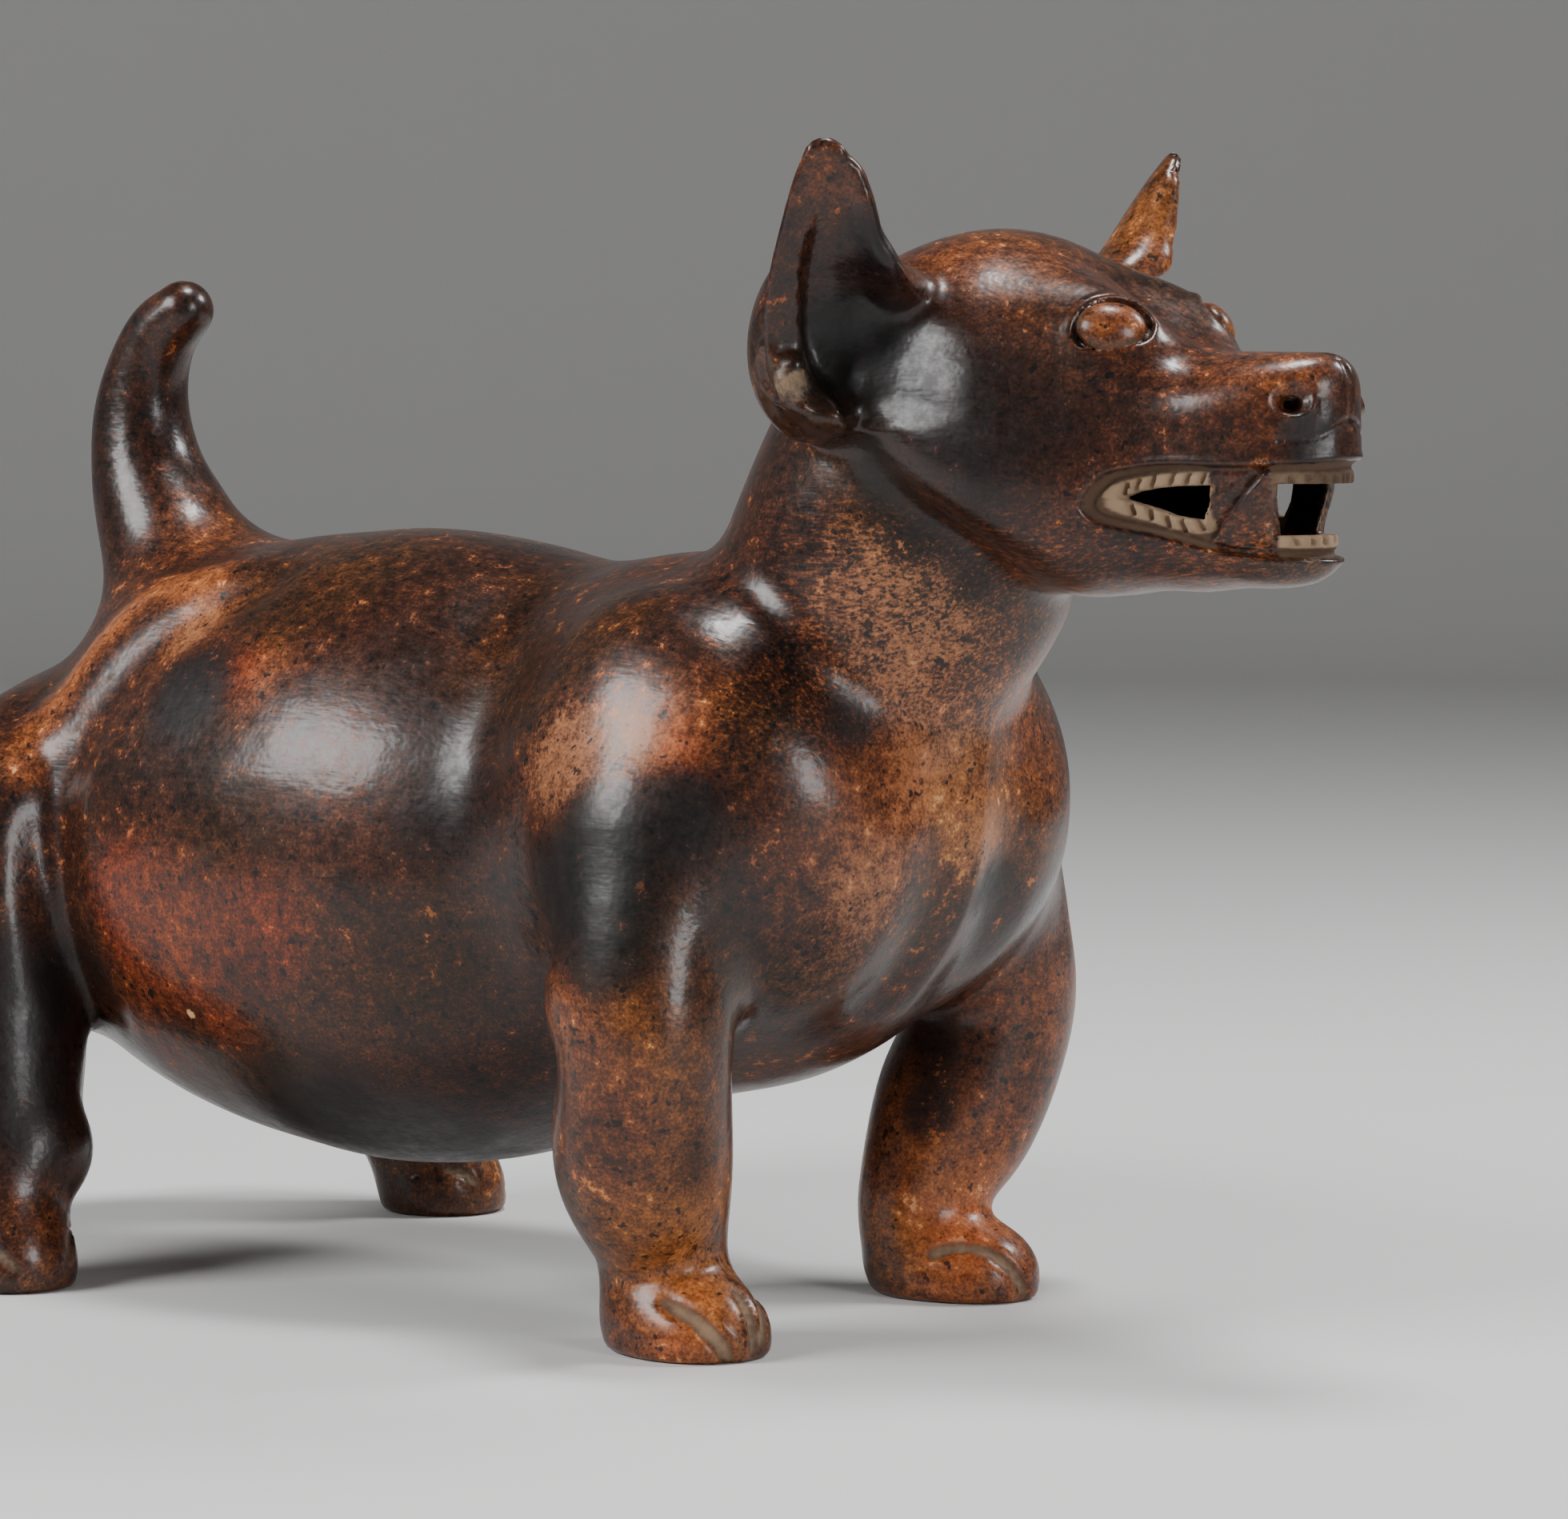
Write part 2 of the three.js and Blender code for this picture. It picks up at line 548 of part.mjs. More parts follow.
// A cutter that runs across the whole head, from an outline of lengths and heights
const ACROSS = 120 * SCALE;
function crossCutter(outline) {
  const shape = new THREE.Shape(outline.map(([x, z]) => new THREE.Vector2(x * SCALE, z * SCALE)));
  const geometry = new THREE.ExtrudeGeometry(shape, { depth: ACROSS, bevelEnabled: false });
  geometry.rotateX(Math.PI / 2);
  geometry.translate(0, ACROSS / 2, 0);
  return solid(geometry);
}

function blockCutter(size, place) {
  const geometry = new THREE.BoxGeometry(...size.map((value) => value * SCALE));
  geometry.translate(...place.map((value) => value * SCALE));
  return solid(geometry);
}

// The muzzle and eye region a given depth inside the skin, to stop shallow cuts
function core(depth) {
  const field = (x, y, z) => Math.max(head(x, Math.abs(y), z) + depth / SCALE, CORE_BACK - x);
  const sideways = mirrored(planes(CORE_FACETS_SIDE));
  return solid(skin(field, planes(CORE_FACETS_LENGTH), sideways, planes(CORE_FACETS_HEIGHT)));
}

// One edge of the cheek window with cuts between the teeth that stand on it
function toothedEdge(from, to, teeth, rise) {
  const half = TOOTH_GAP / (2 * SCALE);
  const depth = rise * TOOTH_GAP_HEIGHT / SCALE;
  const edge = [];
  for (let tooth = 0; tooth < teeth; tooth += 1) {
    const share = (tooth + 0.5) / teeth;
    const x = from[0] + (to[0] - from[0]) * share;
    const z = from[1] + (to[1] - from[1]) * share;
    const ahead = Math.sign(to[0] - from[0]) * half;
    edge.push([x - ahead, z], [x - ahead / 2, z + depth], [x + ahead / 2, z + depth], [x + ahead, z]);
  }
  return edge;
}

function cheekWindow() {
  const { back, long, drop, blunt, above, below, slant } = CHEEK_WINDOW;
  const middle = MUZZLE_MIDDLE - drop;
  const backTop = [back, middle + blunt];
  const backBottom = [back, middle - blunt];
  const frontTop = [back + long, middle + above];
  const frontBottom = [back + long - slant, middle - below];
  const upper = toothedEdge(backTop, frontTop, UPPER_TEETH, 1);
  const lower = toothedEdge(frontBottom, backBottom, LOWER_TEETH, -1);
  return crossCutter([backTop, ...upper, frontTop, frontBottom, ...lower, backBottom]);
}

const FRONT_TOP = MUZZLE_MIDDLE - FRONT_WINDOW.drop + FRONT_WINDOW.tall / 2;
const FRONT_BOTTOM = MUZZLE_MIDDLE - FRONT_WINDOW.drop - FRONT_WINDOW.tall / 2;
function frontWindow() {
  const { backTop, backBottom, front } = FRONT_WINDOW;
  return crossCutter([
    [backTop, FRONT_TOP], [backBottom, FRONT_BOTTOM], [front, FRONT_BOTTOM], [front, FRONT_TOP],
  ]);
}

// The room between the jaws, a wall's thickness inside the skin of the muzzle
function mouthRoom() {
  const { back, front, side, bottom, top } = MOUTH_ROOM;
  const size = [front - back, 2 * side, top - bottom];
  const room = blockCutter(size, [(back + front) / 2, 0, (bottom + top) / 2]);
  return room.intersect(core(MUZZLE_WALL));
}

function fangGroove() {
  const half = FANG_GROOVE / (2 * SCALE);
  const { top, bottom } = FANG_GROOVE_LINE;
  return crossCutter([
    [top[0] - half, top[1]], [bottom[0] - half, bottom[1]],
    [bottom[0] + half, bottom[1]], [top[0] + half, top[1]],
  ]);
}

// Upright cuts between the front teeth, in the upper and the lower row
function frontTeethCuts(stop) {
  const { from, to } = FRONT_TOOTH_CUT;
  const size = [to - from, TOOTH_GAP / SCALE, (2 * TOOTH_GAP_HEIGHT) / SCALE];
  const cuts = [];
  for (const place of FRONT_TEETH) {
    for (const height of [FRONT_TOP, FRONT_BOTTOM]) {
      cuts.push(blockCutter(size, [(from + to) / 2, place, height]).subtract(stop));
    }
  }
  return cuts;
}

// The ear frame at real size, for a geometry that is already at real size
const earPlace = earFrame.clone().setPosition(earBase.clone().multiplyScalar(SCALE));

function earSolid(side) {
  const geometry = skin(ear, planes(EAR_FACETS_ALONG), planes(EAR_FACETS_ACROSS), planes(EAR_FACETS_OUT));
  return mirrorTo(solid(geometry.applyMatrix4(earPlace)), side);
}

function earHollow(side) {
  const geometry = skin(earCup, planes(CUP_FACETS_ALONG), planes(CUP_FACETS_ACROSS), planes(CUP_FACETS_OUT));
  return mirrorTo(solid(geometry.applyMatrix4(earPlace)), side);
}

function eyeSolid(grow, side) {
  const geometry = new THREE.SphereGeometry(1, ...EYE.facets);
  geometry.scale(...EYE.half.map((value, k) => (value + (k === 1 ? 2 * grow : grow)) * SCALE));
  geometry.rotateX(THREE.MathUtils.degToRad(EYE.lean));
  geometry.rotateZ(THREE.MathUtils.degToRad(EYE.turn - 90));
  geometry.translate(...EYE.at.map((value) => value * SCALE));
  return mirrorTo(solid(geometry), side);
}

function mirrorTo(body, side) {
  return side > 0 ? body : body.mirror([0, 1, 0]);
}

function nostril(side) {
  const geometry = new THREE.SphereGeometry(1, ...NOSTRIL.facets);
  geometry.scale(NOSTRIL.long * SCALE, NOSTRIL_DEPTH, NOSTRIL.tall * SCALE);
  geometry.rotateZ(-Math.PI / 4);
  geometry.translate(...NOSTRIL.at.map((value) => value * SCALE));
  return mirrorTo(solid(geometry), side);
}

function noseCleft() {
  const { at, top, bottom, depth, width } = NOSE_CLEFT;
  return blockCutter([2 * depth, width, top - bottom], [at, 0, (top + bottom) / 2]);
}

// A wedge that cuts the foot's rounded front from above and ahead
function toeCut(foot, { angle, reach }, side) {
  const [cx, cy] = foot.at;
  const [hx, , hz] = foot.half;
  const half = TOE_GROOVE / (2 * SCALE);
  const ring = new THREE.Shape();
  const deep = TOE_GROOVE_DEPTH / SCALE;
  const top = foot.at[2] + hz;
  const [from, to] = TOE_ARC;
  ring.absellipse(0, 0, reach, top + TOE_CLEARANCE, from, to, false);
  ring.absellipse(0, 0, hx - deep, top - deep, to, from, true);
  ring.closePath();
  const geometry = new THREE.ExtrudeGeometry(ring, {
    depth: 2 * half, bevelEnabled: false, curveSegments: TOE_FACETS,
  });
  geometry.rotateX(Math.PI / 2);
  geometry.translate(0, half, 0);
  geometry.rotateZ(THREE.MathUtils.degToRad(angle));
  geometry.translate(cx, cy, 0);
  geometry.scale(SCALE, SCALE, SCALE);
  return mirrorTo(solid(geometry), side);
}

function dogGeometry() {
  const sideways = mirrored(planes(FACETS_SIDE));
  let dog = solid(skin(outside, planes(FACETS_LENGTH), sideways, planes(FACETS_HEIGHT)));
  const behindLips = core(LIP_STEP);
  const behindGroove = core(LIP_STEP + FANG_GROOVE_DEPTH);
  const behindEye = core(EYE_GROOVE_DEPTH);
  const eyes = [];
  for (const side of [1, -1]) {
    dog = dog.add(earSolid(side)).subtract(earHollow(side));
    dog = dog.subtract(eyeSolid(EYE_GROOVE / SCALE, side).subtract(behindEye));
    dog = dog.subtract(nostril(side));
    eyes.push(eyeSolid(0, side));
    for (const toe of TOES) {
      dog = dog.subtract(toeCut(FRONT_FOOT, toe, side)).subtract(toeCut(HIND_FOOT, toe, side));
    }
  }
  for (const eye of eyes) {
    dog = dog.add(eye);
  }
  dog = dog.subtract(noseCleft());
  dog = dog.subtract(crossCutter(LIPS).subtract(behindLips));
  dog = dog.subtract(fangGroove().subtract(behindGroove));
  for (const cut of frontTeethCuts(behindGroove)) {
    dog = dog.subtract(cut);
  }
  const hollow = skin(inside, planes(HOLLOW_FACETS_LENGTH), mirrored(planes(HOLLOW_FACETS_SIDE)),
    planes(HOLLOW_FACETS_HEIGHT));
  dog = dog.subtract(solid(hollow)).subtract(mouthRoom());
  dog = dog.subtract(cheekWindow()).subtract(frontWindow());
  dog = dog.subtract(blockCutter(FLOOR_BLOCK.size, FLOOR_BLOCK.at));

  const mesh = dog.getMesh();
  const geometry = new THREE.BufferGeometry();
  geometry.setAttribute('position', new THREE.BufferAttribute(mesh.vertProperties, 3));
  geometry.setIndex(new THREE.BufferAttribute(mesh.triVerts, 1));
  return geometry;
}

const clay = new THREE.MeshStandardMaterial({ color: 0x6b3a22, roughness: 0.32, metalness: 0 });
const geometry = dogGeometry();
geometry.computeVertexNormals();
geometry.computeBoundingBox();
const dogFigure = new THREE.Mesh(geometry, clay);
dogFigure.name = 'dog_figure';

// The origin is on the floor, midway along the figure
dogFigure.position.x = -(geometry.boundingBox.min.x + geometry.boundingBox.max.x) / 2;

const figure = new THREE.Group();
figure.add(dogFigure);
export default figure;
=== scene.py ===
import math

import bpy
import numpy as np
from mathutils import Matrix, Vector


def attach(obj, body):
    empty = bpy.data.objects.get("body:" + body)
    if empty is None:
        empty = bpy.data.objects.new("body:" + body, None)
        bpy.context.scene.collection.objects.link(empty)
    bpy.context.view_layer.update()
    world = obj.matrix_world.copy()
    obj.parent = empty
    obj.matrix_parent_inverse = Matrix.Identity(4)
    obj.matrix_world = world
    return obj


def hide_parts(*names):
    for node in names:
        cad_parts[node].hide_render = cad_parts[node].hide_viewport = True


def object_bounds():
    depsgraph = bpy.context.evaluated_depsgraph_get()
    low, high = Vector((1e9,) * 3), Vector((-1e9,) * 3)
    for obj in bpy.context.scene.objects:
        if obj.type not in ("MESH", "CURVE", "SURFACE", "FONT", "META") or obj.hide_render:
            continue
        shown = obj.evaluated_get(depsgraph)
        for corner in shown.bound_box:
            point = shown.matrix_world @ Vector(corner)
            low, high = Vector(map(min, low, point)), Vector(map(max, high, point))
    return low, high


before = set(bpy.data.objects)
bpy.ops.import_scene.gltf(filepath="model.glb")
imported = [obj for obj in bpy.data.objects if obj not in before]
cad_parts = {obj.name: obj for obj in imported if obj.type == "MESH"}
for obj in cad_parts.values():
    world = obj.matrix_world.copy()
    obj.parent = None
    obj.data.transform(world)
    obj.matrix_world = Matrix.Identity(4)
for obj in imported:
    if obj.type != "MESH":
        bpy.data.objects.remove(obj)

# A hollow burnished clay dog, drawn in millimetres: x = 0 lies about midway between its front and
# hind feet, and z = 0 is the floor. It looks along +X, and +Y is its left side. The forms repeat
# those of the CAD solid, with finer relief.
MM = 0.001
CAD_BOX = [list(corner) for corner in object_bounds()]
CAD_MIDDLE = (CAD_BOX[0][0] + CAD_BOX[1][0]) / 2 / MM
MOST_TRIANGLES = 190000
COARSE = 1.0

WALL = 6.0
MUZZLE_WALL = 5.6
# How softly each part joins the body
JOIN = dict(hips=8, neck=11, head=8, front_leg=12, hind_leg=7, tail=18)

# Rounded masses: centre, half sizes, blend into those before, and tip nose down in degrees
TRUNK = [
    dict(name="belly", at=(-31, 0, 109), half=(107, 77, 80), blend=0),
    dict(name="loin", at=(-86, 0, 110), half=(68, 63, 64), blend=24),
    dict(name="back", at=(-44, 0, 137), half=(84, 37, 37), blend=24, rod=True),
    dict(name="breast", at=(56, 0, 100), half=(50, 50, 45), blend=20),
    dict(name="chest", at=(86, 0, 124), half=(55, 57, 54), blend=32, tip=-6),
    dict(name="pectoral", at=(94, 27, 124), half=(42, 29, 44), blend=12),
    dict(name="shoulder", at=(84, 44, 132), half=(38, 27, 44), blend=30, tip=-12),
    dict(name="withers", at=(60, 0, 156), half=(33, 34, 25), blend=30),
]
HIPS = [
    dict(name="rump", at=(-122, 0, 106), half=(54, 57, 46), blend=0),
    dict(name="haunch", at=(-133, 46, 101), half=(35, 28, 42), blend=24),
    dict(name="croup", at=(-129, 10, 129), half=(32, 34, 24), blend=16),
]
SKULL = [
    dict(name="cranium", at=(146, 0, 223), half=(45, 44, 41), blend=0),
    dict(name="cheek", at=(160, 16, 203), half=(38, 23, 25), blend=20),
    dict(name="brow", at=(181, 12.6, 235), half=(19.5, 14, 16), blend=12),
]
ELBOW = dict(at=(83, 75, 85), half=(9.5, 10, 12), blend=6)
FRONT_FOOT = dict(at=(96.5, 54, 4), half=(20, 17, 16), blend=8)
KNEE = dict(at=(-97, 71, 33), half=(7.5, 10, 10), blend=9)
HIND_FOOT = dict(at=(-99.5, 83, 4), half=(15.5, 15, 15), blend=10)

# Limbs: centres with the radius at each, joined by a smooth curve
NECK = [(96, 0, 140, 43), (104.5, 0, 163, 39.5), (119.5, 0, 190, 41.5), (130, 0, 216, 38)]
FRONT_LEG = [
    (90, 57, 118, 25), (93, 66, 92, 22), (94.5, 69, 70, 20.6),
    (88.5, 62, 46, 21), (85, 52, 26, 16), (86, 51, 10, 15),
]
HIND_LEG = [
    (-133, 57, 108, 30), (-124, 66, 78, 25), (-117, 71, 54, 22),
    (-108, 79, 26, 17.5), (-104, 82, 10, 14.5),
]
TAIL = [
    (-100, 0, 142, 30), (-112, 0, 166, 23), (-123, 0, 186, 18.5), (-130.5, 0, 201, 15.3),
    (-133, 0, 215, 13), (-131, 0, 228, 11), (-125.5, 0, 238.5, 9.4), (-117.5, 0, 245, 7.8),
]
MUZZLE = dict(at=193.8, long=50, wide=24, roof=235.6, jaw=180.5, blend=14)
CHIN_SET_BACK = 3.4
CHIN = dict(at=(226, 0, 190.5), half=(12.6, 13, 7.6), blend=4)
BROW_VALLEY = dict(start=(180, 0, 281), end=(216, 0, 257.5), radius=17, blend=13)
JAW_EDGE = dict(at=np.array((146.0, 0.0, 198.0)), down=np.array((-0.54, 0.14, -0.83)), blend=13)

EAR_BOX = ((80, 4, 186), (184, 102, 310))
EAR_BASE = np.array((137.0, 51.0, 232.0))
EAR_TIP = np.array((147.0, 69.0, 279.3))
EAR_FACING = 50.0
EAR_LEAF = [(-1, 14.5), (8, 16), (20, 14.4), (33, 11.2), (43, 8.2)]
EAR_TIP_RADIUS = 4.6
EAR_BULB = dict(at=(125.5, 44, 238), half=(17, 14, 24), blend=5, tip=8)
EAR_FLANGE = [
    (17, 9.6, 3, 4.6), (25, 8.0, 5.4, 4.3), (33, 7.1, 5.6, 4.1), (40, 6.0, 4.2, 4.1), (47, 4.6, 2.4, 4.1),
]
EAR_ROOT = [(25, 9.6, 3, 4.2), (19, 12.4, -3, 4.8), (12.5, 17, -11, 6)]
# Places along the ear with: its half width, the face's level, the hollow's rear edge, the hollow's
# floor, the hollow's front edge and the level it rises to there
EAR_ALONG = [-14, -7, -2, 4, 10, 18, 26, 33, 41, 47, 56]
EAR_WIDTH = [13, 14.5, 15, 15.7, 16, 14.8, 13, 11.4, 9, 7, 4]
EAR_FACE = [3, 1, 0, -0.5, -1, -1, -0.8, -0.4, 0.0, 0.3, 0.6]
EAR_EDGE = [3, -0.6, -5.3, -7.3, -7.7, -7.4, -6.4, -4.6, -1.8, 3, 12]
EAR_FLOOR = [1.5, -1.5, -5.5, -8, -8.5, -6.8, -4.2, -2.2, -0.4, 1, 5]
EAR_FRONT = [13, 16, 18, 20, 21, 17.5, 13.2, 11, 9.4, 7.6, 5]
EAR_RISE = [12, 10, 8, 4, 2, 5, 9, 9, 7.5, 5, 3]

# Soft ridges (raised) and valleys (sunk) along lines on the body
RELIEF = [
    dict(name="hip groove", height=-2.6, reach=13, path=[
        (-53, 39, 176), (-66, 46, 169.6), (-75.5, 52, 162.5), (-84.7, 58.6, 152.4), (-92.3, 63.9, 140.2),
        (-97.1, 67.8, 126.1), (-99.1, 69.5, 111.9), (-97.6, 69.6, 95.8), (-95.1, 66, 79.4),
        (-92.2, 61.1, 68.6)]),
    dict(name="hip ridge", height=2.4, reach=17, path=[
        (-72, 32, 178), (-86.5, 37.7, 172.7), (-96, 44.2, 165.6), (-104, 50.7, 155.4),
        (-110.2, 55.8, 143.1), (-112, 65.7, 129.4), (-112, 73, 113.7), (-110, 75, 98)]),
    dict(name="breast valley", height=-1.9, reach=17, path=[
        (143, 13, 134), (141, 13, 120), (137, 13, 107), (131, 13, 96), (122, 13, 87)]),
    dict(name="neck crease", height=-0.8, reach=15, path=[
        (96, 40, 162), (112, 40, 150), (126, 36, 140), (137, 26, 134)]),
]

# A thin raised bead runs from the ear's rear rim round its root, with a chipped knob beside it
EAR_BEAD = [
    (121.9, 59, 237.3), (119.6, 57.5, 233.6), (120.0, 56.6, 228.1), (124.1, 57.4, 224.4),
    (133.9, 60.3, 222.4), (135.3, 56.6, 219), (133.4, 47.0, 216.1),
]
EAR_BEAD_RADIUS = 1.1
EAR_KNOBS = [
    ((-5, -10, 3.6), (2.8, 3.6, 2.6)), ((-1, -12, 4.4), (3.2, 2.6, 3)),
    ((2.4, -10, 3.2), (2.6, 2.8, 2.4)), ((-2, -8.6, 2), (2.2, 2.2, 2.6)),
]
EAR_KNOB_MIDDLE = np.array((-1.5, -11.0, 5.0))
EAR_LOW_BOX = ((105, 30, 205), (155, 75, 250))

# Mouth: its outlines are seen from the side, as length and height
MOUTH_BOX = ((184, -1, 180), (262, 60, 216))
LIPS = [
    (190.6, 200.8), (191.8, 204.1), (193.7, 206.4), (196.5, 208.6), (203, 209.9), (210, 210.4),
    (225, 210.3), (239, 211), (262, 211.2), (262, 188.8), (236, 189), (230, 189),
    (220, 190), (208.6, 193), (202.2, 194.5), (196.6, 195.7), (193.4, 196.8), (191.8, 198.1),
]
# The skin steps back inside the lips' line, with a groove inside that line and a bead outside it
LIP_STEP = 1.7
LIP_GROOVE = 0.7
LIP_BEAD = 0.3
CHEEK_WINDOW = [
    (197.2, 202.4), (200.4, 203.9), (204.8, 204.8), (209.9, 205.3), (217.9, 205.6),
    (217.5, 201.3), (216, 197.6), (211.3, 198.2), (208.8, 198.6), (204.7, 200.1), (201.2, 201.1),
]
FRONT_WINDOW = [(231, 206), (229.8, 194.3), (262, 194.3), (262, 206)]
WINDOW_EDGE = 0.6
# The panel between the cheek window and the front window lies deeper
PANEL_DEPTH = 0.7
PANEL_BACK = (216.5, 218.5)
MOUTH_ROOM = dict(top=208.6, bottom=191.0, back=194.0, front_bottom=193.0, front=(220, 232))
UPPER_TOOTH_CUTS = [
    (198.5, 204.5), (201, 205.4), (204.4, 206.3), (208.8, 206.7), (212.6, 206.8), (216.2, 207),
]
LOWER_TOOTH_CUTS = [(199.9, 200), (203.8, 199), (207.5, 197.3), (211, 196.3), (214.9, 196.6)]
UPPER_LEAN = 0.35
LOWER_LEAN = -0.25
TOOTH_CUT = dict(width=1.3, tall=3.0, deep=1.8)
FANG_RIDGE = dict(top=(230.6, 209.6), bottom=(217.2, 192.6), width=1.5, tall=1.0)
FANG_GROOVE = dict(width=(2.4, 4.6), deep=(1.2, 1.7))
# The front rows: where the cuts lie across the mouth, and the height of the teeth's edge
UPPER_FRONT_CUTS = ((13.3, 10.8, 8.4, 5.9, 3.4, 0.8), 206.4)
LOWER_FRONT_CUTS = ((10.6, 7.6, 4.8, 1.8), 194.0)
FRONT_CUT = dict(width=0.55, tall=1.7, deep=1.4, starts=(231.5, 233.5))

# Eye, in its own plane: across towards the nose, up, and out of the head
EYE_BOX = ((178, 2, 228), (208, 36, 256))
EYE_AT = np.array((193.0, 20.5, 242.0))
EYE_ACROSS = np.array((0.735, -0.67, 0.10))
EYE_UP = np.array((-0.32, -0.33, 0.89))
EYE_RIM = [
    (-10, -3.4), (-8.6, 1.9), (-4.2, 5.6), (0.7, 6.9), (4.9, 6.3), (8.4, 2.8), (9.1, -0.8),
    (6.5, -4.9), (-0.4, -6.9), (-6.5, -6.2),
]
EYE_BALL = dict(at=(-0.8, -0.8, -0.6), half=(7.9, 6.2, 4.0))
EYE_SOCKET_DEPTH = 2.0

NOSE_BOX = ((224, -1, 208), (262, 26, 240))
NOSTRIL_AT = np.array((236.6, 12.8, 225.0))
NOSTRIL_ACROSS = np.array((0.79, -0.61, 0.04))
NOSTRIL_UP = np.array((0.0, 0.0, 1.0))
NOSTRIL_BOWL = 1.9
NOSTRIL_WING = 1.1
NOSTRIL_HOLE = dict(at=(-0.7, -1.1, -1.5), half=(2.7, 1.9, 5), blend=0.9)
NOSE_CLEFT = [(236, 0, 236.5), (241.5, 0, 233), (244, 0, 228), (244.2, 0, 222), (243.6, 0, 219)]
LIP_LINE = [
    (233.6, 14.5, 215.8), (237.5, 11.6, 215.9), (240.9, 8, 216.8), (242.6, 5.3, 218.6), (243.6, 0.5, 220.6),
]

FEET_BOX = ((-125, 20, -6), (126, 110, 22))
OUTER_TOE_CUT = [(99, 68, 14.5), (107.5, 66.4, 10.6), (112.7, 63.9, 5.2), (114.5, 62, 0)]
MIDDLE_TOE_CUT = [(110, 54, 16), (115.1, 54.9, 9.9), (117, 55, 0)]
HIND_TOES_FROM_FRONT = np.array((-198.0, 29.0, -1.0))
INNER_TOE_CUT = [
    (98.3, 38.2, 12.4), (102.4, 40.9, 13.9), (106, 43.4, 14.2), (110.7, 46.4, 12.8), (114.7, 49.3, 9),
    (117, 53, 2),
]
FRONT_CUT_WIDTHS = (3.0, 2.7, 2.4)
HIND_CUT_WIDTH = 2.2
TOE_CUT_DEPTH = 0.95


# Distances in numpy: every function takes an array of points, one per row
def smooth_join(a, b, blend):
    if np.isscalar(blend) and blend <= 0:
        return np.minimum(a, b)
    overlap = np.maximum(blend - np.abs(a - b), 0) / blend
    return np.minimum(a, b) - overlap * overlap * blend / 4


def smooth_cut(a, b, blend):
    return -smooth_join(-a, -b, blend)


def ramp(value, start, end):
    share = np.clip((value - start) / (end - start), 0, 1)
    return share * share * (3 - 2 * share)


def norm(vectors):
    return np.sqrt((vectors * vectors).sum(-1))


def in_box(points, low, high):
    return ((points > np.array(low)) & (points < np.array(high))).all(-1)


def ellipsoid(points, centre, half):
    offset = points - np.array(centre, float)
    half = np.array(half, float)
    reach = norm(offset / half)
    slope = norm(offset / (half * half))
    return reach * (reach - 1) / np.maximum(slope, 1e-9)


def rod(points, start, end, radius):
    start, end = np.array(start, float), np.array(end, float)
    axis = end - start
    share = np.clip(((points - start) @ axis) / (axis @ axis), 0, 1)
    return norm(points - start - share[:, None] * axis) - radius


def line_distance(points, line):
    best = np.full(len(points), np.inf)
    for start, end in zip(line[:-1], line[1:]):
        best = np.minimum(best, rod(points, start, end, 0.0))
    return best


def mass(points, form):
    at, half = form["at"], form["half"]
    if form.get("rod"):
        reach = half[0] - half[1]
        return rod(points, (at[0] - reach, at[1], at[2]), (at[0] + reach, at[1], at[2]), half[1])
    if not form.get("tip"):
        return ellipsoid(points, at, half)
    angle = math.radians(form["tip"])
    offset = points - np.array(at, float)
    turned = np.stack([
        offset[:, 0] * math.cos(angle) - offset[:, 2] * math.sin(angle),
        offset[:, 1],
        offset[:, 0] * math.sin(angle) + offset[:, 2] * math.cos(angle)], -1)
    return ellipsoid(turned, (0, 0, 0), half)


def masses(points, forms):
    near = mass(points, forms[0])
    for form in forms[1:]:
        near = smooth_join(near, mass(points, form), form["blend"])
    return near


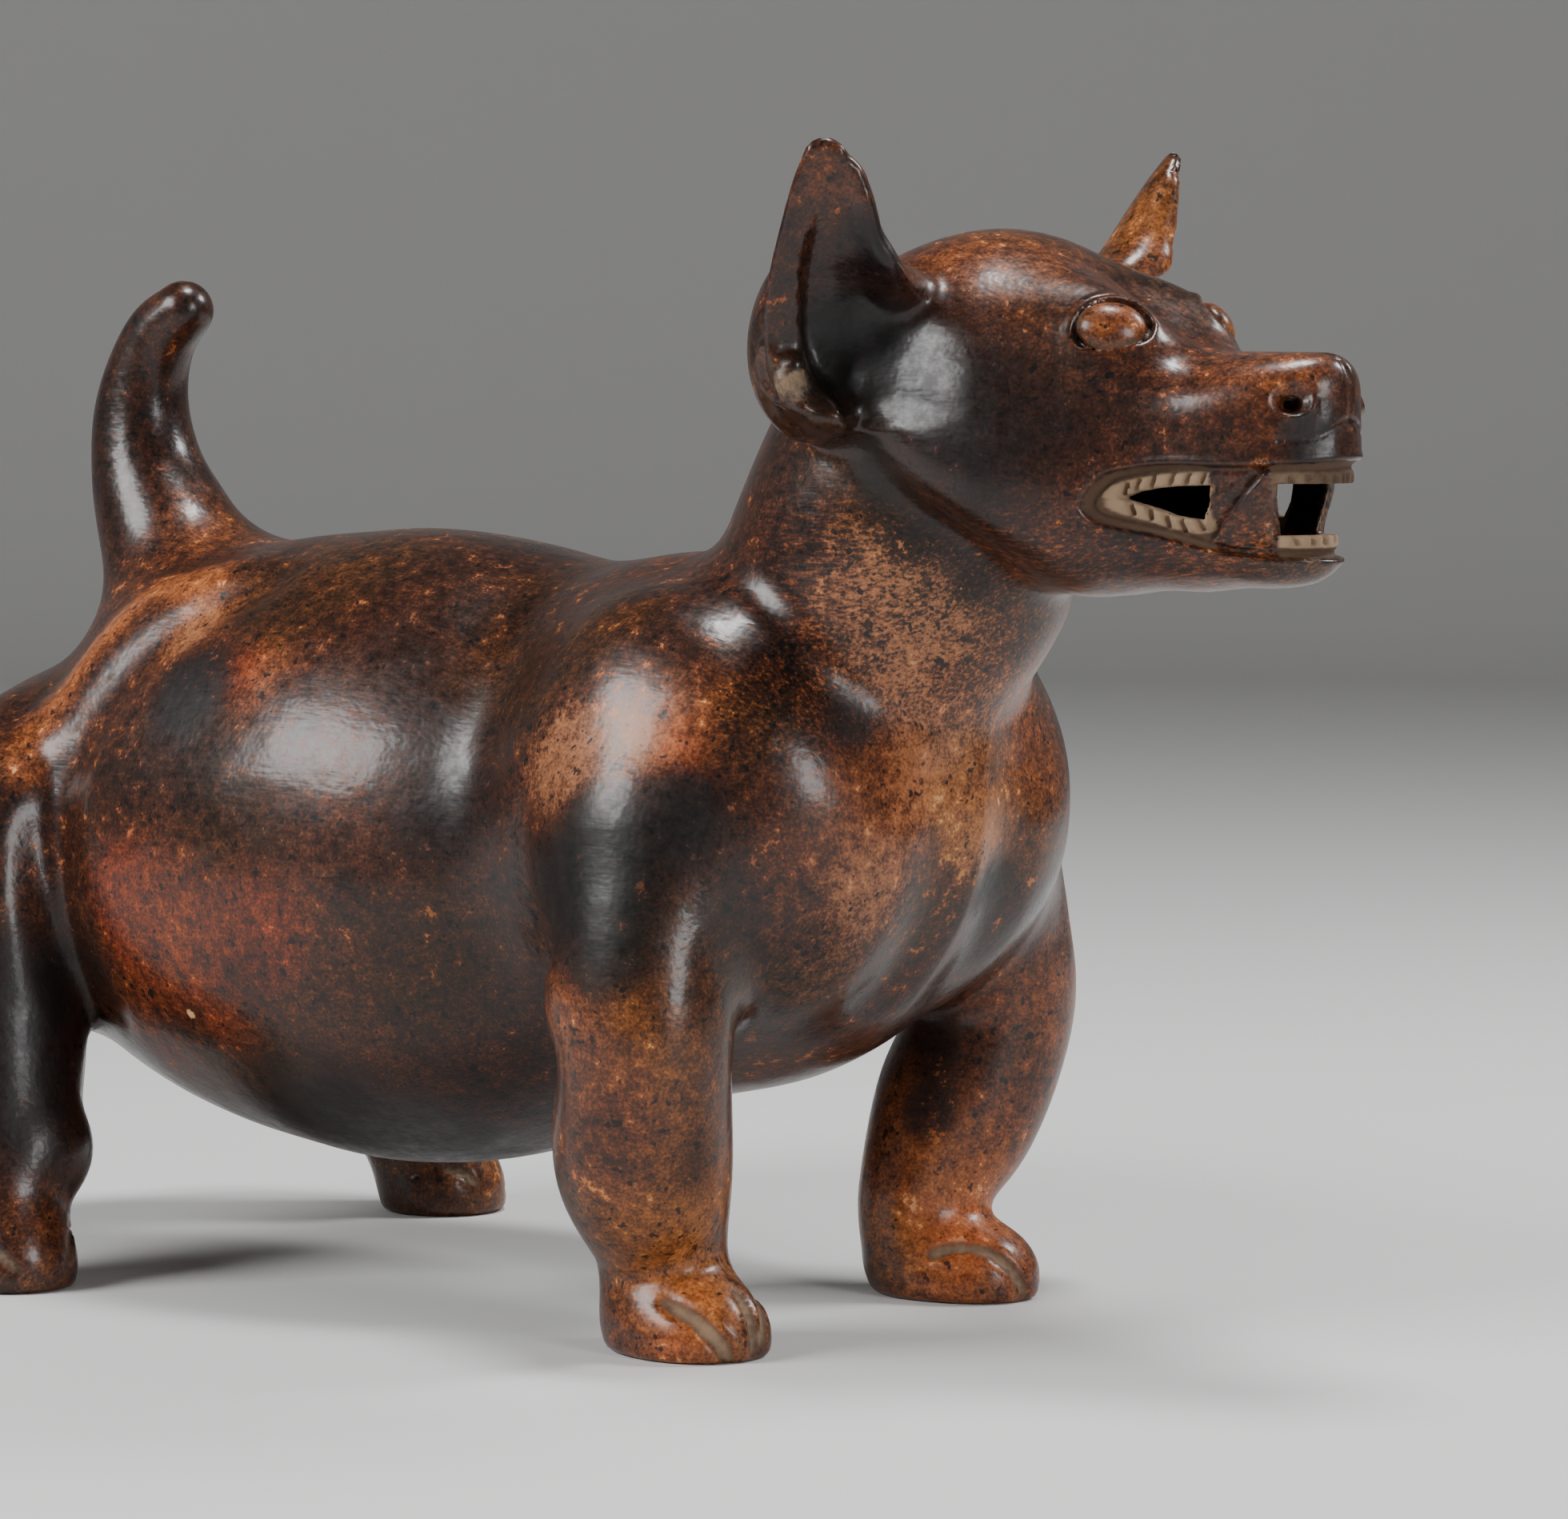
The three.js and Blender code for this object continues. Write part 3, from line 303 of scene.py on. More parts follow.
class Limb:
    """A round limb whose centre and radius follow a smooth curve through its knots."""

    STEPS = 8
    NEAR = 26.0
    FAR_EXTRA = 4.0
    LEAST_STIFFNESS = 4.0

    def __init__(self, knots):
        knots = np.array(knots, float)
        ends = np.vstack([2 * knots[0] - knots[1], knots, 2 * knots[-1] - knots[-2]])
        self.spans = len(knots) - 1
        self.parts = []
        for before, here, after, beyond in zip(ends[:-3], ends[1:-2], ends[2:-1], ends[3:]):
            self.parts.append(0.5 * np.array([
                2 * here, after - before, 2 * before - 5 * here + 4 * after - beyond,
                3 * here - before - 3 * after + beyond]))
        self.parts = np.array(self.parts)
        self.places = np.linspace(0, self.spans, self.spans * self.STEPS + 1)
        self.samples = self.curve(self.places)[0]
        self.middle = (self.samples[:, :3].min(0) + self.samples[:, :3].max(0)) / 2
        self.far = (norm(self.samples[:, :3] - self.middle) + self.samples[:, 3]).max()

    def curve(self, place):
        span = np.clip(place.astype(int), 0, self.spans - 1)
        t = (place - span)[:, None]
        a, b, c, d = (self.parts[span, k] for k in range(4))
        return a + t * (b + t * (c + t * d)), b + t * (2 * c + 3 * t * d), 2 * c + 6 * t * d

    def distance(self, points):
        bound = norm(points - self.middle) - self.far
        near = bound < self.NEAR
        result = bound + self.FAR_EXTRA
        if near.any():
            result[near] = self.exact(points[near])
        return result

    def exact(self, points):
        place = np.zeros(len(points))
        best = np.full(len(points), np.inf)
        for where, sample in zip(self.places, self.samples):
            gap = norm(points - sample[:3]) - sample[3]
            closer = gap < best
            best[closer] = gap[closer]
            place[closer] = where
        for _ in range(3):
            at, slope, bend = self.curve(place)
            offset = at[:, :3] - points
            far = np.maximum(norm(offset), 1e-6)
            lean = (offset * slope[:, :3]).sum(-1) / far
            pull = lean - slope[:, 3]
            turning = (slope[:, :3] ** 2).sum(-1) + (offset * bend[:, :3]).sum(-1) - lean * lean
            stiff = turning / far - bend[:, 3]
            place = np.clip(place - pull / np.maximum(stiff, self.LEAST_STIFFNESS), 0, self.spans)
        at = self.curve(place)[0]
        return norm(at[:, :3] - points) - at[:, 3]


neck = Limb(NECK)
front_leg = Limb(FRONT_LEG)
hind_leg = Limb(HIND_LEG)
tail = Limb(TAIL)


def legs(points):
    front = smooth_join(front_leg.distance(points), mass(points, ELBOW), ELBOW["blend"])
    front = smooth_join(front, mass(points, FRONT_FOOT), FRONT_FOOT["blend"])
    hind = smooth_join(hind_leg.distance(points), mass(points, KNEE), KNEE["blend"])
    hind = smooth_join(hind, mass(points, HIND_FOOT), HIND_FOOT["blend"])
    return front, hind


def muzzle(points):
    x, y, z = points.T
    flat = np.stack([x, y, np.zeros_like(z)], -1)
    side = ellipsoid(flat, (MUZZLE["at"], 0, 0), (MUZZLE["long"], MUZZLE["wide"], 1000))
    roof = z - MUZZLE["roof"] + y * y / 70
    jaw = MUZZLE["jaw"] + y * y / 50 - z
    block = smooth_cut(smooth_cut(side, roof, 9), jaw, 10)
    block = block + CHIN_SET_BACK * np.clip((x - 205) / 30, 0, 1) * (1 - ramp(z, 195, 205))
    return smooth_join(block, mass(points, CHIN), CHIN["blend"])


def head(points):
    skull = masses(points, SKULL)
    valley = rod(points, BROW_VALLEY["start"], BROW_VALLEY["end"], BROW_VALLEY["radius"])
    skull = smooth_cut(skull, -valley, BROW_VALLEY["blend"])
    below_jaw = (points - JAW_EDGE["at"]) @ JAW_EDGE["down"]
    skull = smooth_cut(skull, below_jaw, JAW_EDGE["blend"])
    return smooth_join(skull, muzzle(points), MUZZLE["blend"])


ear_along = EAR_TIP - EAR_BASE
ear_length = float(np.linalg.norm(ear_along))
ear_along /= ear_length
ear_out = np.array((math.cos(math.radians(EAR_FACING)), math.sin(math.radians(EAR_FACING)), 0.0))
ear_out -= ear_along * (ear_out @ ear_along)
ear_out /= np.linalg.norm(ear_out)
ear_across = np.cross(ear_out, ear_along)
ear_flange = Limb(EAR_FLANGE)
ear_root = Limb(EAR_ROOT)
ear_leaf = Limb([(along, 0, 0, radius) for along, radius in EAR_LEAF] + [(ear_length, 0, 0, EAR_TIP_RADIUS)])


def ear_places(points):
    offset = points - EAR_BASE
    return np.stack([offset @ ear_along, offset @ ear_across, offset @ ear_out], -1)


def eased(value, places, levels):
    """Smooth curve through a table of levels."""
    places, levels = np.array(places, float), np.array(levels, float)
    slopes = np.gradient(levels, places)
    value = np.clip(value, places[0], places[-1])
    span = np.clip(np.searchsorted(places, value) - 1, 0, len(places) - 2)
    width = places[span + 1] - places[span]
    t = (value - places[span]) / width
    rest = 1 - t
    return (levels[span] * rest * rest * (1 + 2 * t) + levels[span + 1] * t * t * (3 - 2 * t)
            + width * t * rest * (slopes[span] * rest - slopes[span + 1] * t))


def ear(points):
    """The ear with its bulb behind, and the two hollows cut into its face."""
    own = ear_places(points)
    along, across, out = own.T
    flatness = 0.6 + 0.28 * (1 - ramp(along, -2, 32))
    flat = own.copy()
    flat[:, 2] /= flatness
    leaf = 0.75 * ear_leaf.distance(flat)
    leaf = smooth_join(leaf, ear_flange.distance(own), 5)
    leaf = smooth_join(leaf, ear_root.distance(own), 6)
    bulb = smooth_join(leaf, mass(points, EAR_BULB), EAR_BULB["blend"])

    def level(levels):
        return eased(along, EAR_ALONG, levels)

    face = level(EAR_FACE)
    rear_rise = 2.2 * np.clip(-(across / level(EAR_WIDTH)), 0, 1.3) ** 2
    front = np.clip(across / level(EAR_FRONT), 0, 3) ** 1.5
    rise = level(EAR_RISE)
    face = face + rear_rise + (rise - face) * front
    face = face + 2.4 * ramp(-along, -9, -2) * ramp(-across, 5, 10) + 12 * ramp(-along, -3, 13)
    dish = 0.85 * (face - out)
    floor = level(EAR_FLOOR)
    floor = floor + (rise - floor) * front + 15 * ramp(-along, 6, 19) * ramp(across, 3, 14)
    floor = floor + 10 * ramp(-along, 12, 18)
    edge = 0.85 * (level(EAR_EDGE) - across)
    hollow = smooth_cut(edge, 0.8 * (floor - out), 2.5 + 6 * ramp(-along, 4, 11))
    reach = np.maximum(norm(own - np.array((20, 0, 0))) - 44, -3.0)
    softness = 1.2 + 7 * ramp(across, -2, 9)
    return bulb, np.maximum(dish, reach), np.maximum(hollow, reach), softness


def fold(points):
    folded = points.copy()
    folded[:, 1] = np.abs(folded[:, 1])
    return folded


def trunk_and_head(folded):
    near = smooth_join(masses(folded, TRUNK), masses(folded, HIPS), JOIN["hips"])
    near = smooth_join(near, neck.distance(folded), JOIN["neck"])
    return smooth_join(near, head(folded), JOIN["head"])


def relief(folded):
    """Soft ridges and valleys drawn along lines on the body."""
    total = np.zeros(len(folded))
    for line in RELIEF:
        path = np.array(line["path"], float)
        low, high = path.min(0) - line["reach"], path.max(0) + line["reach"]
        here = in_box(folded, low, high)
        if here.any():
            share = np.clip(1 - line_distance(folded[here], path) / line["reach"], 0, 1)
            total[here] -= line["height"] * share * share * (3 - 2 * share)
    return total


def body_skin(folded):
    near = trunk_and_head(folded)
    front, hind = legs(folded)
    near = smooth_join(near, front, JOIN["front_leg"])
    near = smooth_join(near, hind, JOIN["hind_leg"])
    near = smooth_join(near, tail.distance(folded), JOIN["tail"])
    near = near + relief(folded)
    here = in_box(folded, *EAR_BOX)
    if here.any():
        near[here] = with_ear(folded[here], near[here])
    return near


def with_ear(folded, near):
    leaf, dish, hollow, softness = ear(folded)
    near = smooth_join(near, leaf, EAR_BULB["blend"])
    near = smooth_cut(near, -dish, 1.6)
    near = smooth_cut(near, -hollow, softness)
    low_part = in_box(folded, *EAR_LOW_BOX)
    if low_part.any():
        low = near[low_part]
        own = ear_places(folded[low_part])
        for at, half in EAR_KNOBS:
            low = smooth_join(low, ellipsoid(own, at, half), 1.8)
        bead = line_distance(folded[low_part], EAR_BEAD) - EAR_BEAD_RADIUS
        near[low_part] = smooth_join(low, bead, 1.6)
    return near


# Outlines in a plane: signed distance to a closed outline, and distance to a line
def rounded(outline, steps=4):
    """The closed outline with a smooth curve through its corners."""
    corners = np.array(outline, float)
    before, after, beyond = np.roll(corners, 1, 0), np.roll(corners, -1, 0), np.roll(corners, -2, 0)
    rows = []
    for t in np.arange(steps) / steps:
        rows.append(corners + t * (after - before) / 2
                    + t * t * (2 * before - 5 * corners + 4 * after - beyond) / 2
                    + t * t * t * (3 * corners - before - 3 * after + beyond) / 2)
    return np.stack(rows, 1).reshape(-1, 2)


def outline_distance(x, z, outline):
    corners = np.array(outline, float)
    best = np.full(len(x), np.inf)
    inside = np.zeros(len(x), bool)
    for (ax, az), (bx, bz) in zip(corners, np.roll(corners, -1, 0)):
        ex, ez = bx - ax, bz - az
        share = np.clip(((x - ax) * ex + (z - az) * ez) / (ex * ex + ez * ez), 0, 1)
        best = np.minimum(best, (x - ax - share * ex) ** 2 + (z - az - share * ez) ** 2)
        crosses = (az > z) != (bz > z)
        at = ax + (z - az) * ex / (ez if ez else 1e-9)
        inside ^= crosses & (x < at)
    best = np.sqrt(best)
    return np.where(inside, -best, best)


def groove(points, line, width, depth):
    share = np.clip(1 - line_distance(points, line) / width, 0, 1)
    return depth * share * share * (3 - 2 * share)


def bump(value, middle, reach):
    share = np.clip(1 - np.abs(value - middle) / reach, 0, 1)
    return share * share * (3 - 2 * share)


def with_tooth_cuts(step, x, y, z):
    """The cut with the notches between the teeth of the cheek and of the front."""
    for row, lean in ((UPPER_TOOTH_CUTS, UPPER_LEAN), (LOWER_TOOTH_CUTS, LOWER_LEAN)):
        for cut_x, cut_z in row:
            along = np.abs(z - cut_z) / (TOOTH_CUT["tall"] / 2)
            across = np.abs(x - cut_x - lean * (z - cut_z)) / (TOOTH_CUT["width"] / 2)
            step = step + TOOTH_CUT["deep"] * ramp(-np.maximum(along, across), -1.3, -0.6)
    for row, edge in (UPPER_FRONT_CUTS, LOWER_FRONT_CUTS):
        for cut_y in row:
            notch = np.maximum(np.abs(y - cut_y) / FRONT_CUT["width"], np.abs(z - edge) / FRONT_CUT["tall"])
            step = step + FRONT_CUT["deep"] * ramp(-notch, -1.35, -0.6) * ramp(x, *FRONT_CUT["starts"])
    return step


def with_fangs(step, x, z):
    """The cut with the slanting ridge of the crossed fangs and the groove behind it."""
    top, bottom = FANG_RIDGE["top"], FANG_RIDGE["bottom"]
    rise = np.array((top[0] - bottom[0], top[1] - bottom[1]))
    length = np.linalg.norm(rise)
    rise /= length
    up = (x - bottom[0]) * rise[0] + (z - bottom[1]) * rise[1]
    aside = (x - bottom[0]) * rise[1] - (z - bottom[1]) * rise[0]
    height = np.clip(up / length, 0, 1)
    width = FANG_GROOVE["width"][1] + (FANG_GROOVE["width"][0] - FANG_GROOVE["width"][1]) * height
    deep = FANG_GROOVE["deep"][1] + (FANG_GROOVE["deep"][0] - FANG_GROOVE["deep"][1]) * height
    on_line = ramp(up, -0.6, 1.2) * ramp(-up, -length - 0.4, -length + 1.0)
    trench = ramp(aside / width, -1.0, -0.25) * ramp(-aside, -0.2, 0.5)
    ridge = bump(aside, FANG_RIDGE["width"] / 2, FANG_RIDGE["width"])
    return step + on_line * (deep * trench - FANG_RIDGE["tall"] * ridge)


def mouth(folded, near):
    """Cuts the lips, teeth, fangs and windows of the mouth."""
    x, y, z = folded.T
    lips = outline_distance(x, z, rounded(LIPS, 3))
    step = LIP_STEP * ramp(-lips, -0.2, 0.8) + LIP_GROOVE * bump(-lips, 1.5, 1.4)
    step = step - LIP_BEAD * bump(lips, 0.7, 1.4)
    panel = ramp(x, *PANEL_BACK) * ramp(-x, -234.0, -230.0)
    step = step + PANEL_DEPTH * panel * ramp(-lips, 2.0, 3.2)
    cut = near + with_fangs(with_tooth_cuts(step, x, y, z), x, z)
    for outline in (CHEEK_WINDOW, FRONT_WINDOW):
        cut = smooth_cut(cut, -outline_distance(x, z, outline), WINDOW_EDGE)
    rise = MOUTH_ROOM["front_bottom"] - MOUTH_ROOM["bottom"]
    floor = MOUTH_ROOM["bottom"] + rise * ramp(x, *MOUTH_ROOM["front"])
    height = np.maximum(z - MOUTH_ROOM["top"], floor - z)
    room = smooth_cut(smooth_cut(near + MUZZLE_WALL, height, 2), MOUTH_ROOM["back"] - x, 3)
    return smooth_cut(cut, -room, 0.8)


def own_plane(folded, at, across, up):
    """Places beside a point on the head: across and up in its own plane, and out of it."""
    out = np.cross(up, across)
    out = -out if out[1] < 0 else out
    offset = folded - at
    return offset @ across, offset @ up, offset @ (out / np.linalg.norm(out))


def eye(folded, near):
    across, up, away = own_plane(folded, EYE_AT, EYE_ACROSS, EYE_UP)
    rim = outline_distance(across, up, rounded(EYE_RIM))
    in_front = ramp(away, -9, -6)
    lid = 0.2 + 0.4 * ramp(up, -3, 4)
    cut = near + (EYE_SOCKET_DEPTH * ramp(-rim, -0.2, 0.9) - lid * bump(rim, 1.0, 2.0)) * in_front
    ball = ellipsoid(np.stack([across, up, away], -1), EYE_BALL["at"], EYE_BALL["half"])
    return smooth_join(cut, ball, 0.5)


def nose(folded, near):
    """Cuts the nostril's bowl and hole with the raised wing round them, and the nose's lines."""
    across, high, away = own_plane(folded, NOSTRIL_AT, NOSTRIL_ACROSS, NOSTRIL_UP)
    near_face = ramp(away, -7, -4)
    bowl = np.hypot((across + 0.2) / 6.2, (high - 0.4 - 0.12 * across) / 4.2)
    cut = near + NOSTRIL_BOWL * ramp(-bowl, -1.0, -0.25) * near_face
    reach = np.hypot(across / 4.6, (high + 0.6) / 3.5)
    turn = np.arctan2(high + 0.6, across)
    crescent = ramp(-np.abs(reach - 1.0), -0.34, -0.05) * ramp(-np.abs(turn + 0.95), -1.6, -0.7)
    cut = cut - NOSTRIL_WING * crescent * near_face
    hole = ellipsoid(np.stack([across, high, away], -1), NOSTRIL_HOLE["at"], NOSTRIL_HOLE["half"])
    cut = smooth_cut(cut, -hole, NOSTRIL_HOLE["blend"])
    cut = cut + groove(folded, NOSE_CLEFT, 1.5, 0.9)
    return cut + groove(folded, LIP_LINE, 1.1, 0.7)


def toe_lines(side):
    """The cuts between the toes of one side's feet, with their widths."""
    lines = list(zip((OUTER_TOE_CUT, INNER_TOE_CUT, MIDDLE_TOE_CUT), FRONT_CUT_WIDTHS))
    if side > 0:
        lines.pop()
    hind = [(np.array(line, float) + HIND_TOES_FROM_FRONT, HIND_CUT_WIDTH) for line, _ in lines[:2]]
    return lines + hind


def feet(points, folded, near):
    cut = near.copy()
    for side in (-1, 1):
        depth = np.zeros(len(near))
        for line, width in toe_lines(side):
            depth += groove(folded, line, width, TOE_CUT_DEPTH * width)
        cut += np.where(points[:, 1] * side > 0, depth, 0)
    return cut


# Slow waves that make the hand-shaped surface a little uneven
rng = np.random.default_rng(7)
WAVES = [(rng.normal(size=3), rng.uniform(22, 60), rng.uniform(0, 2 * math.pi)) for _ in range(14)]


def unevenness(points):
    total = np.zeros(len(points))
    for direction, length, phase in WAVES:
        way = direction / np.linalg.norm(direction)
        total += np.sin(points @ way * (2 * math.pi / length) + phase) * (length / 60)
    return 0.09 * total


def surface(points):
    """Distance to the dog's skin and to the walls of its hollow."""
    folded = fold(points)
    near = body_skin(folded) + unevenness(points)
    for box, carve in ((MOUTH_BOX, mouth), (EYE_BOX, eye), (NOSE_BOX, nose)):
        here = in_box(folded, *box)
        if here.any():
            near[here] = carve(folded[here], near[here])
    here = in_box(folded, *FEET_BOX)
    if here.any():
        near[here] = feet(points[here], folded[here], near[here])
    inner = trunk_and_head(folded) + WALL
    near = smooth_cut(near, -inner, 1.0)
    return smooth_cut(near, -points[:, 2], 2.0)


# Meshing: one point in each grid cell that the surface crosses, one face for each crossed edge
def stretches(*parts):
    """Grid places along one axis: each part has its start and its step, and the last one the end."""
    places = []
    for (start, step), (end, _) in zip(parts[:-1], parts[1:]):
        count = max(round((end - start) / (step * COARSE)), 1)
        places.extend(np.linspace(start, end, count, endpoint=False))
    places.append(parts[-1][0])
    return np.array(places)


def both_sides(places):
    return np.concatenate([-places[:0:-1], places])


def narrow_band(xs, ys, zs, block=8, far=1e3):
    """Distances on the grid, worked out only in blocks that the surface may pass through."""
    shape = (len(xs), len(ys), len(zs))
    values = np.full(shape, far, np.float32)
    starts = np.meshgrid(*(np.arange(0, count, block) for count in shape), indexing="ij")
    lows = np.stack(starts, -1).reshape(-1, 3)
    highs = np.minimum(lows + block, shape) - 1
    low = np.stack([xs[lows[:, 0]], ys[lows[:, 1]], zs[lows[:, 2]]], -1)
    high = np.stack([xs[highs[:, 0]], ys[highs[:, 1]], zs[highs[:, 2]]], -1)
    middle, half = (low + high) / 2, norm(high - low) / 2
    rough = surface(middle)
    keep = np.abs(rough) < half * 1.35 + 5.0
    for (i, j, k), (u, v, w), sign in zip(lows[~keep], highs[~keep] + 1, np.sign(rough[~keep])):
        values[i:u, j:v, k:w] = sign * far
    chosen = np.nonzero(keep)[0]
    for part in np.array_split(chosen, max(len(chosen) // 300, 1)):
        cells = []
        for which in part:
            (i, j, k), (u, v, w) = lows[which], highs[which] + 1
            grid = np.stack(np.meshgrid(xs[i:u], ys[j:v], zs[k:w], indexing="ij"), -1)
            cells.append(grid.reshape(-1, 3))
        found = surface(np.concatenate(cells))
        start = 0
        for which, cell in zip(part, cells):
            (i, j, k), (u, v, w) = lows[which], highs[which] + 1
            values[i:u, j:v, k:w] = found[start:start + len(cell)].reshape(u - i, v - j, w - k)
            start += len(cell)
    return values


def settle(points, probe=0.06, longest=0.8):
    """The points moved onto the surface, along its slope."""
    for _ in range(2):
        here = surface(points)
        slope = np.zeros_like(points)
        for axis in range(3):
            step = np.zeros(3)
            step[axis] = probe
            slope[:, axis] = (surface(points + step) - surface(points - step)) / (2 * probe)
        steep = np.maximum((slope * slope).sum(-1), 0.25)
        move = -(here / steep)[:, None] * slope
        size = norm(move)[:, None]
        points = points + move * np.minimum(1, longest / np.maximum(size, 1e-9))
    return points


def cells_beside(hits, axis, back_p, back_q):
    cell = hits.copy()
    cell[:, (axis + 1) % 3] -= back_p
    cell[:, (axis + 2) % 3] -= back_q
    return cell


def skin(xs, ys, zs):
    """The surface's points and its four-sided faces."""
    values = narrow_band(xs, ys, zs)
    inside = values < 0
    shape = np.array(values.shape)
    rulers = (xs, ys, zs)
    total = np.zeros(tuple(shape - 1) + (3,), np.float64)
    count = np.zeros(tuple(shape - 1), np.int32)
    crossed = []
    for axis in range(3):
        first = [slice(None)] * 3
        second = [slice(None)] * 3
        first[axis] = slice(0, -1)
        second[axis] = slice(1, None)
        a, b = values[tuple(first)], values[tuple(second)]
        hits = np.argwhere(inside[tuple(first)] != inside[tuple(second)])
        low, high = a[tuple(hits.T)].astype(float), b[tuple(hits.T)].astype(float)
        share = low / (low - high)
        place = np.stack([rulers[k][hits[:, k]] for k in range(3)], -1)
        place[:, axis] += share * (rulers[axis][hits[:, axis] + 1] - place[:, axis])
        for back_p, back_q in ((0, 0), (0, 1), (1, 0), (1, 1)):
            cell = cells_beside(hits, axis, back_p, back_q)
            valid = (cell >= 0).all(-1) & (cell < shape - 1).all(-1)
            np.add.at(total, tuple(cell[valid].T), place[valid])
            np.add.at(count, tuple(cell[valid].T), 1)
        crossed.append((axis, hits, low < 0))
    cells = np.argwhere(count > 0)
    number = np.full(tuple(shape - 1), -1, np.int64)
    number[tuple(cells.T)] = np.arange(len(cells))
    points = total[tuple(cells.T)] / count[tuple(cells.T)][:, None]
    faces = []
    for axis, hits, outward in crossed:
        ring = [cells_beside(hits, axis, *back) for back in ((1, 1), (0, 1), (0, 0), (1, 0))]
        quad = np.stack([number[tuple(cell.T)] for cell in ring], -1)
        quad[~outward] = quad[~outward][:, ::-1]
        faces.append(quad)
    return points, np.concatenate(faces)


# The grid is finest at the mouth
XS = stretches((-190, 2.6), (92, 1.3), (130, 1.6), (182, 0.62), (252, 0))
YS = both_sides(stretches((0, 0.8), (30, 1.9), (106, 0)))
ZS = stretches((-4, 1.3), (26, 2.2), (186, 0.62), (213, 1.0), (256, 1.8), (292, 0))


def halved(points, faces):
    """Two triangles for each four-sided face, split along its shorter diagonal."""
    a, b, c, d = faces.T
    other = norm(points[a] - points[c]) > norm(points[b] - points[d])
    first = np.where(other[:, None], np.stack([a, b, d], -1), np.stack([a, b, c], -1))
    second = np.where(other[:, None], np.stack([b, c, d], -1), np.stack([a, c, d], -1))
    return np.concatenate([first, second])


def slimmed(mesh, most):
    """The mesh with fewer triangles where the skin is smooth."""
    holder = bpy.data.objects.new("holder", mesh)
    bpy.context.scene.collection.objects.link(holder)
    holder.modifiers.new("slim", "DECIMATE").ratio = min(1.0, most / len(mesh.polygons))
    graph = bpy.context.evaluated_depsgraph_get()
    slim = bpy.data.meshes.new_from_object(holder.evaluated_get(graph))
    bpy.data.objects.remove(holder)
    return slim


def build_dog():
    """The dog, moved so that its middle is the CAD box's, and its points as drawn."""
    points, faces = skin(XS, YS, ZS)
    points = settle(points)
    middle = (points[:, 0].min() + points[:, 0].max()) / 2
    shift = np.array((CAD_MIDDLE - middle, 0, 0))
    full = bpy.data.meshes.new("full_dog")
    full.from_pydata(((points + shift) * MM).tolist(), [], halved(points, faces).tolist())
    mesh = slimmed(full, MOST_TRIANGLES)
    bpy.data.meshes.remove(full)
    mesh.name = "clay_dog"
    mesh.validate()
    mesh.polygons.foreach_set("use_smooth", [True] * len(mesh.polygons))
    dog = bpy.data.objects.new("clay_dog", mesh)
    bpy.context.scene.collection.objects.link(dog)
    kept = np.empty(3 * len(mesh.vertices))
    mesh.vertices.foreach_get("co", kept)
    return dog, kept.reshape(-1, 3) / MM - shift


dog, drawn_points = build_dog()
drawn_middle = (drawn_points[:, 0].min() + drawn_points[:, 0].max()) / 2


# Colour zones of the clay: soft blobs on the skin, each with its place, reach and strength
ORANGE = [
    (128, -16, 258, 24, 0.2), (156, -20, 262, 26, 0.4), (216, -10, 236, 18, 0.45), (147, -66, 271, 12, 0.6),
    (109, -80, 59, 32, 0.45), (107, -86, 81, 23, 0.45), (106, -65, 35, 23, 0.6), (103, -67, 12, 26, 0.85),
    (100, 44, 45, 32, 0.75), (94, 39, 27, 26, 0.8), (104, 43, 14, 26, 0.85), (138, 25, 135, 25, 0.8),
    (142, -1, 128, 18, 0.8), (139, -21, 134, 15, 0.6), (133, -44, 139, 21, 0.55), (105, -65, 154, 15, 0.55),
    (-104, -9, 191, 16, 0.5), (-31, -63, 155, 14, 0.7), (151, 56, 268, 24, 1.0), (191, -31, 199, 13, 0.45),
    (233, -13, 230, 17, 0.5), (165, -20, 256, 26, 0.4), (10, -60, 70, 23, 0.35), (115, 64, 74, 22, 0.8),
    (85, -88, 86, 14, 0.7), (24, -46, 160, 15, 0.35), (-94, 83, 10, 22, 0.6), (-94, -83, 8, 20, 0.6),
    (60, 66, 120, 34, 0.6), (-60, 70, 90, 40, 0.5), (-120, 60, 70, 26, 0.6),
]
# A painted highlight along the hip's crest, and the worn edge of the fangs
HIP_CREST_HIGHLIGHT = [(-75, -36, 176), (-94, -37, 174), (-104, -47, 160), (-111, -57, 142), (-113, -66, 128)]
FANG_EDGE = [(217.0, 22, 192.4), (230.6, 17.5, 209.8)]
RED = [
    (-50, -72, 85, 32, 1.0), (-71, -73, 100, 16, 1.0), (-20, -76, 97, 20, 0.7), (-41, -62, 156, 15, 0.6),
    (105, -69, 145, 13, 0.5), (109, -77, 111, 11, 0.4), (-78, -55, 61, 17, 0.4), (103, -67, 12, 24, 0.4),
    (104, 43, 14, 24, 0.4), (-30, 76, 120, 30, 0.6),
]
# Pale zones: pale clay, and painted highlights in the first two, on the near shoulder, and in the one on the
# upper flank at x = -68
PALE_AND_HIGHLIGHTS = [
    (72, -73, 140, 18, 1.0), (94, -73, 145, 16, 0.8), (137, -38, 187, 23, 0.7), (143, -27, 169, 26, 0.85),
    (135, -37, 109, 24, 0.75), (139, -18, 138, 17, 0.7), (-68, -47, 165, 14, 0.8), (141, 1, 118, 14, 0.7),
    (119, -42, 88, 16, 0.5), (144, 3, 152, 16, 0.5), (140, 30, 168, 22, 0.6), (80, 72, 150, 18, 0.6),
]
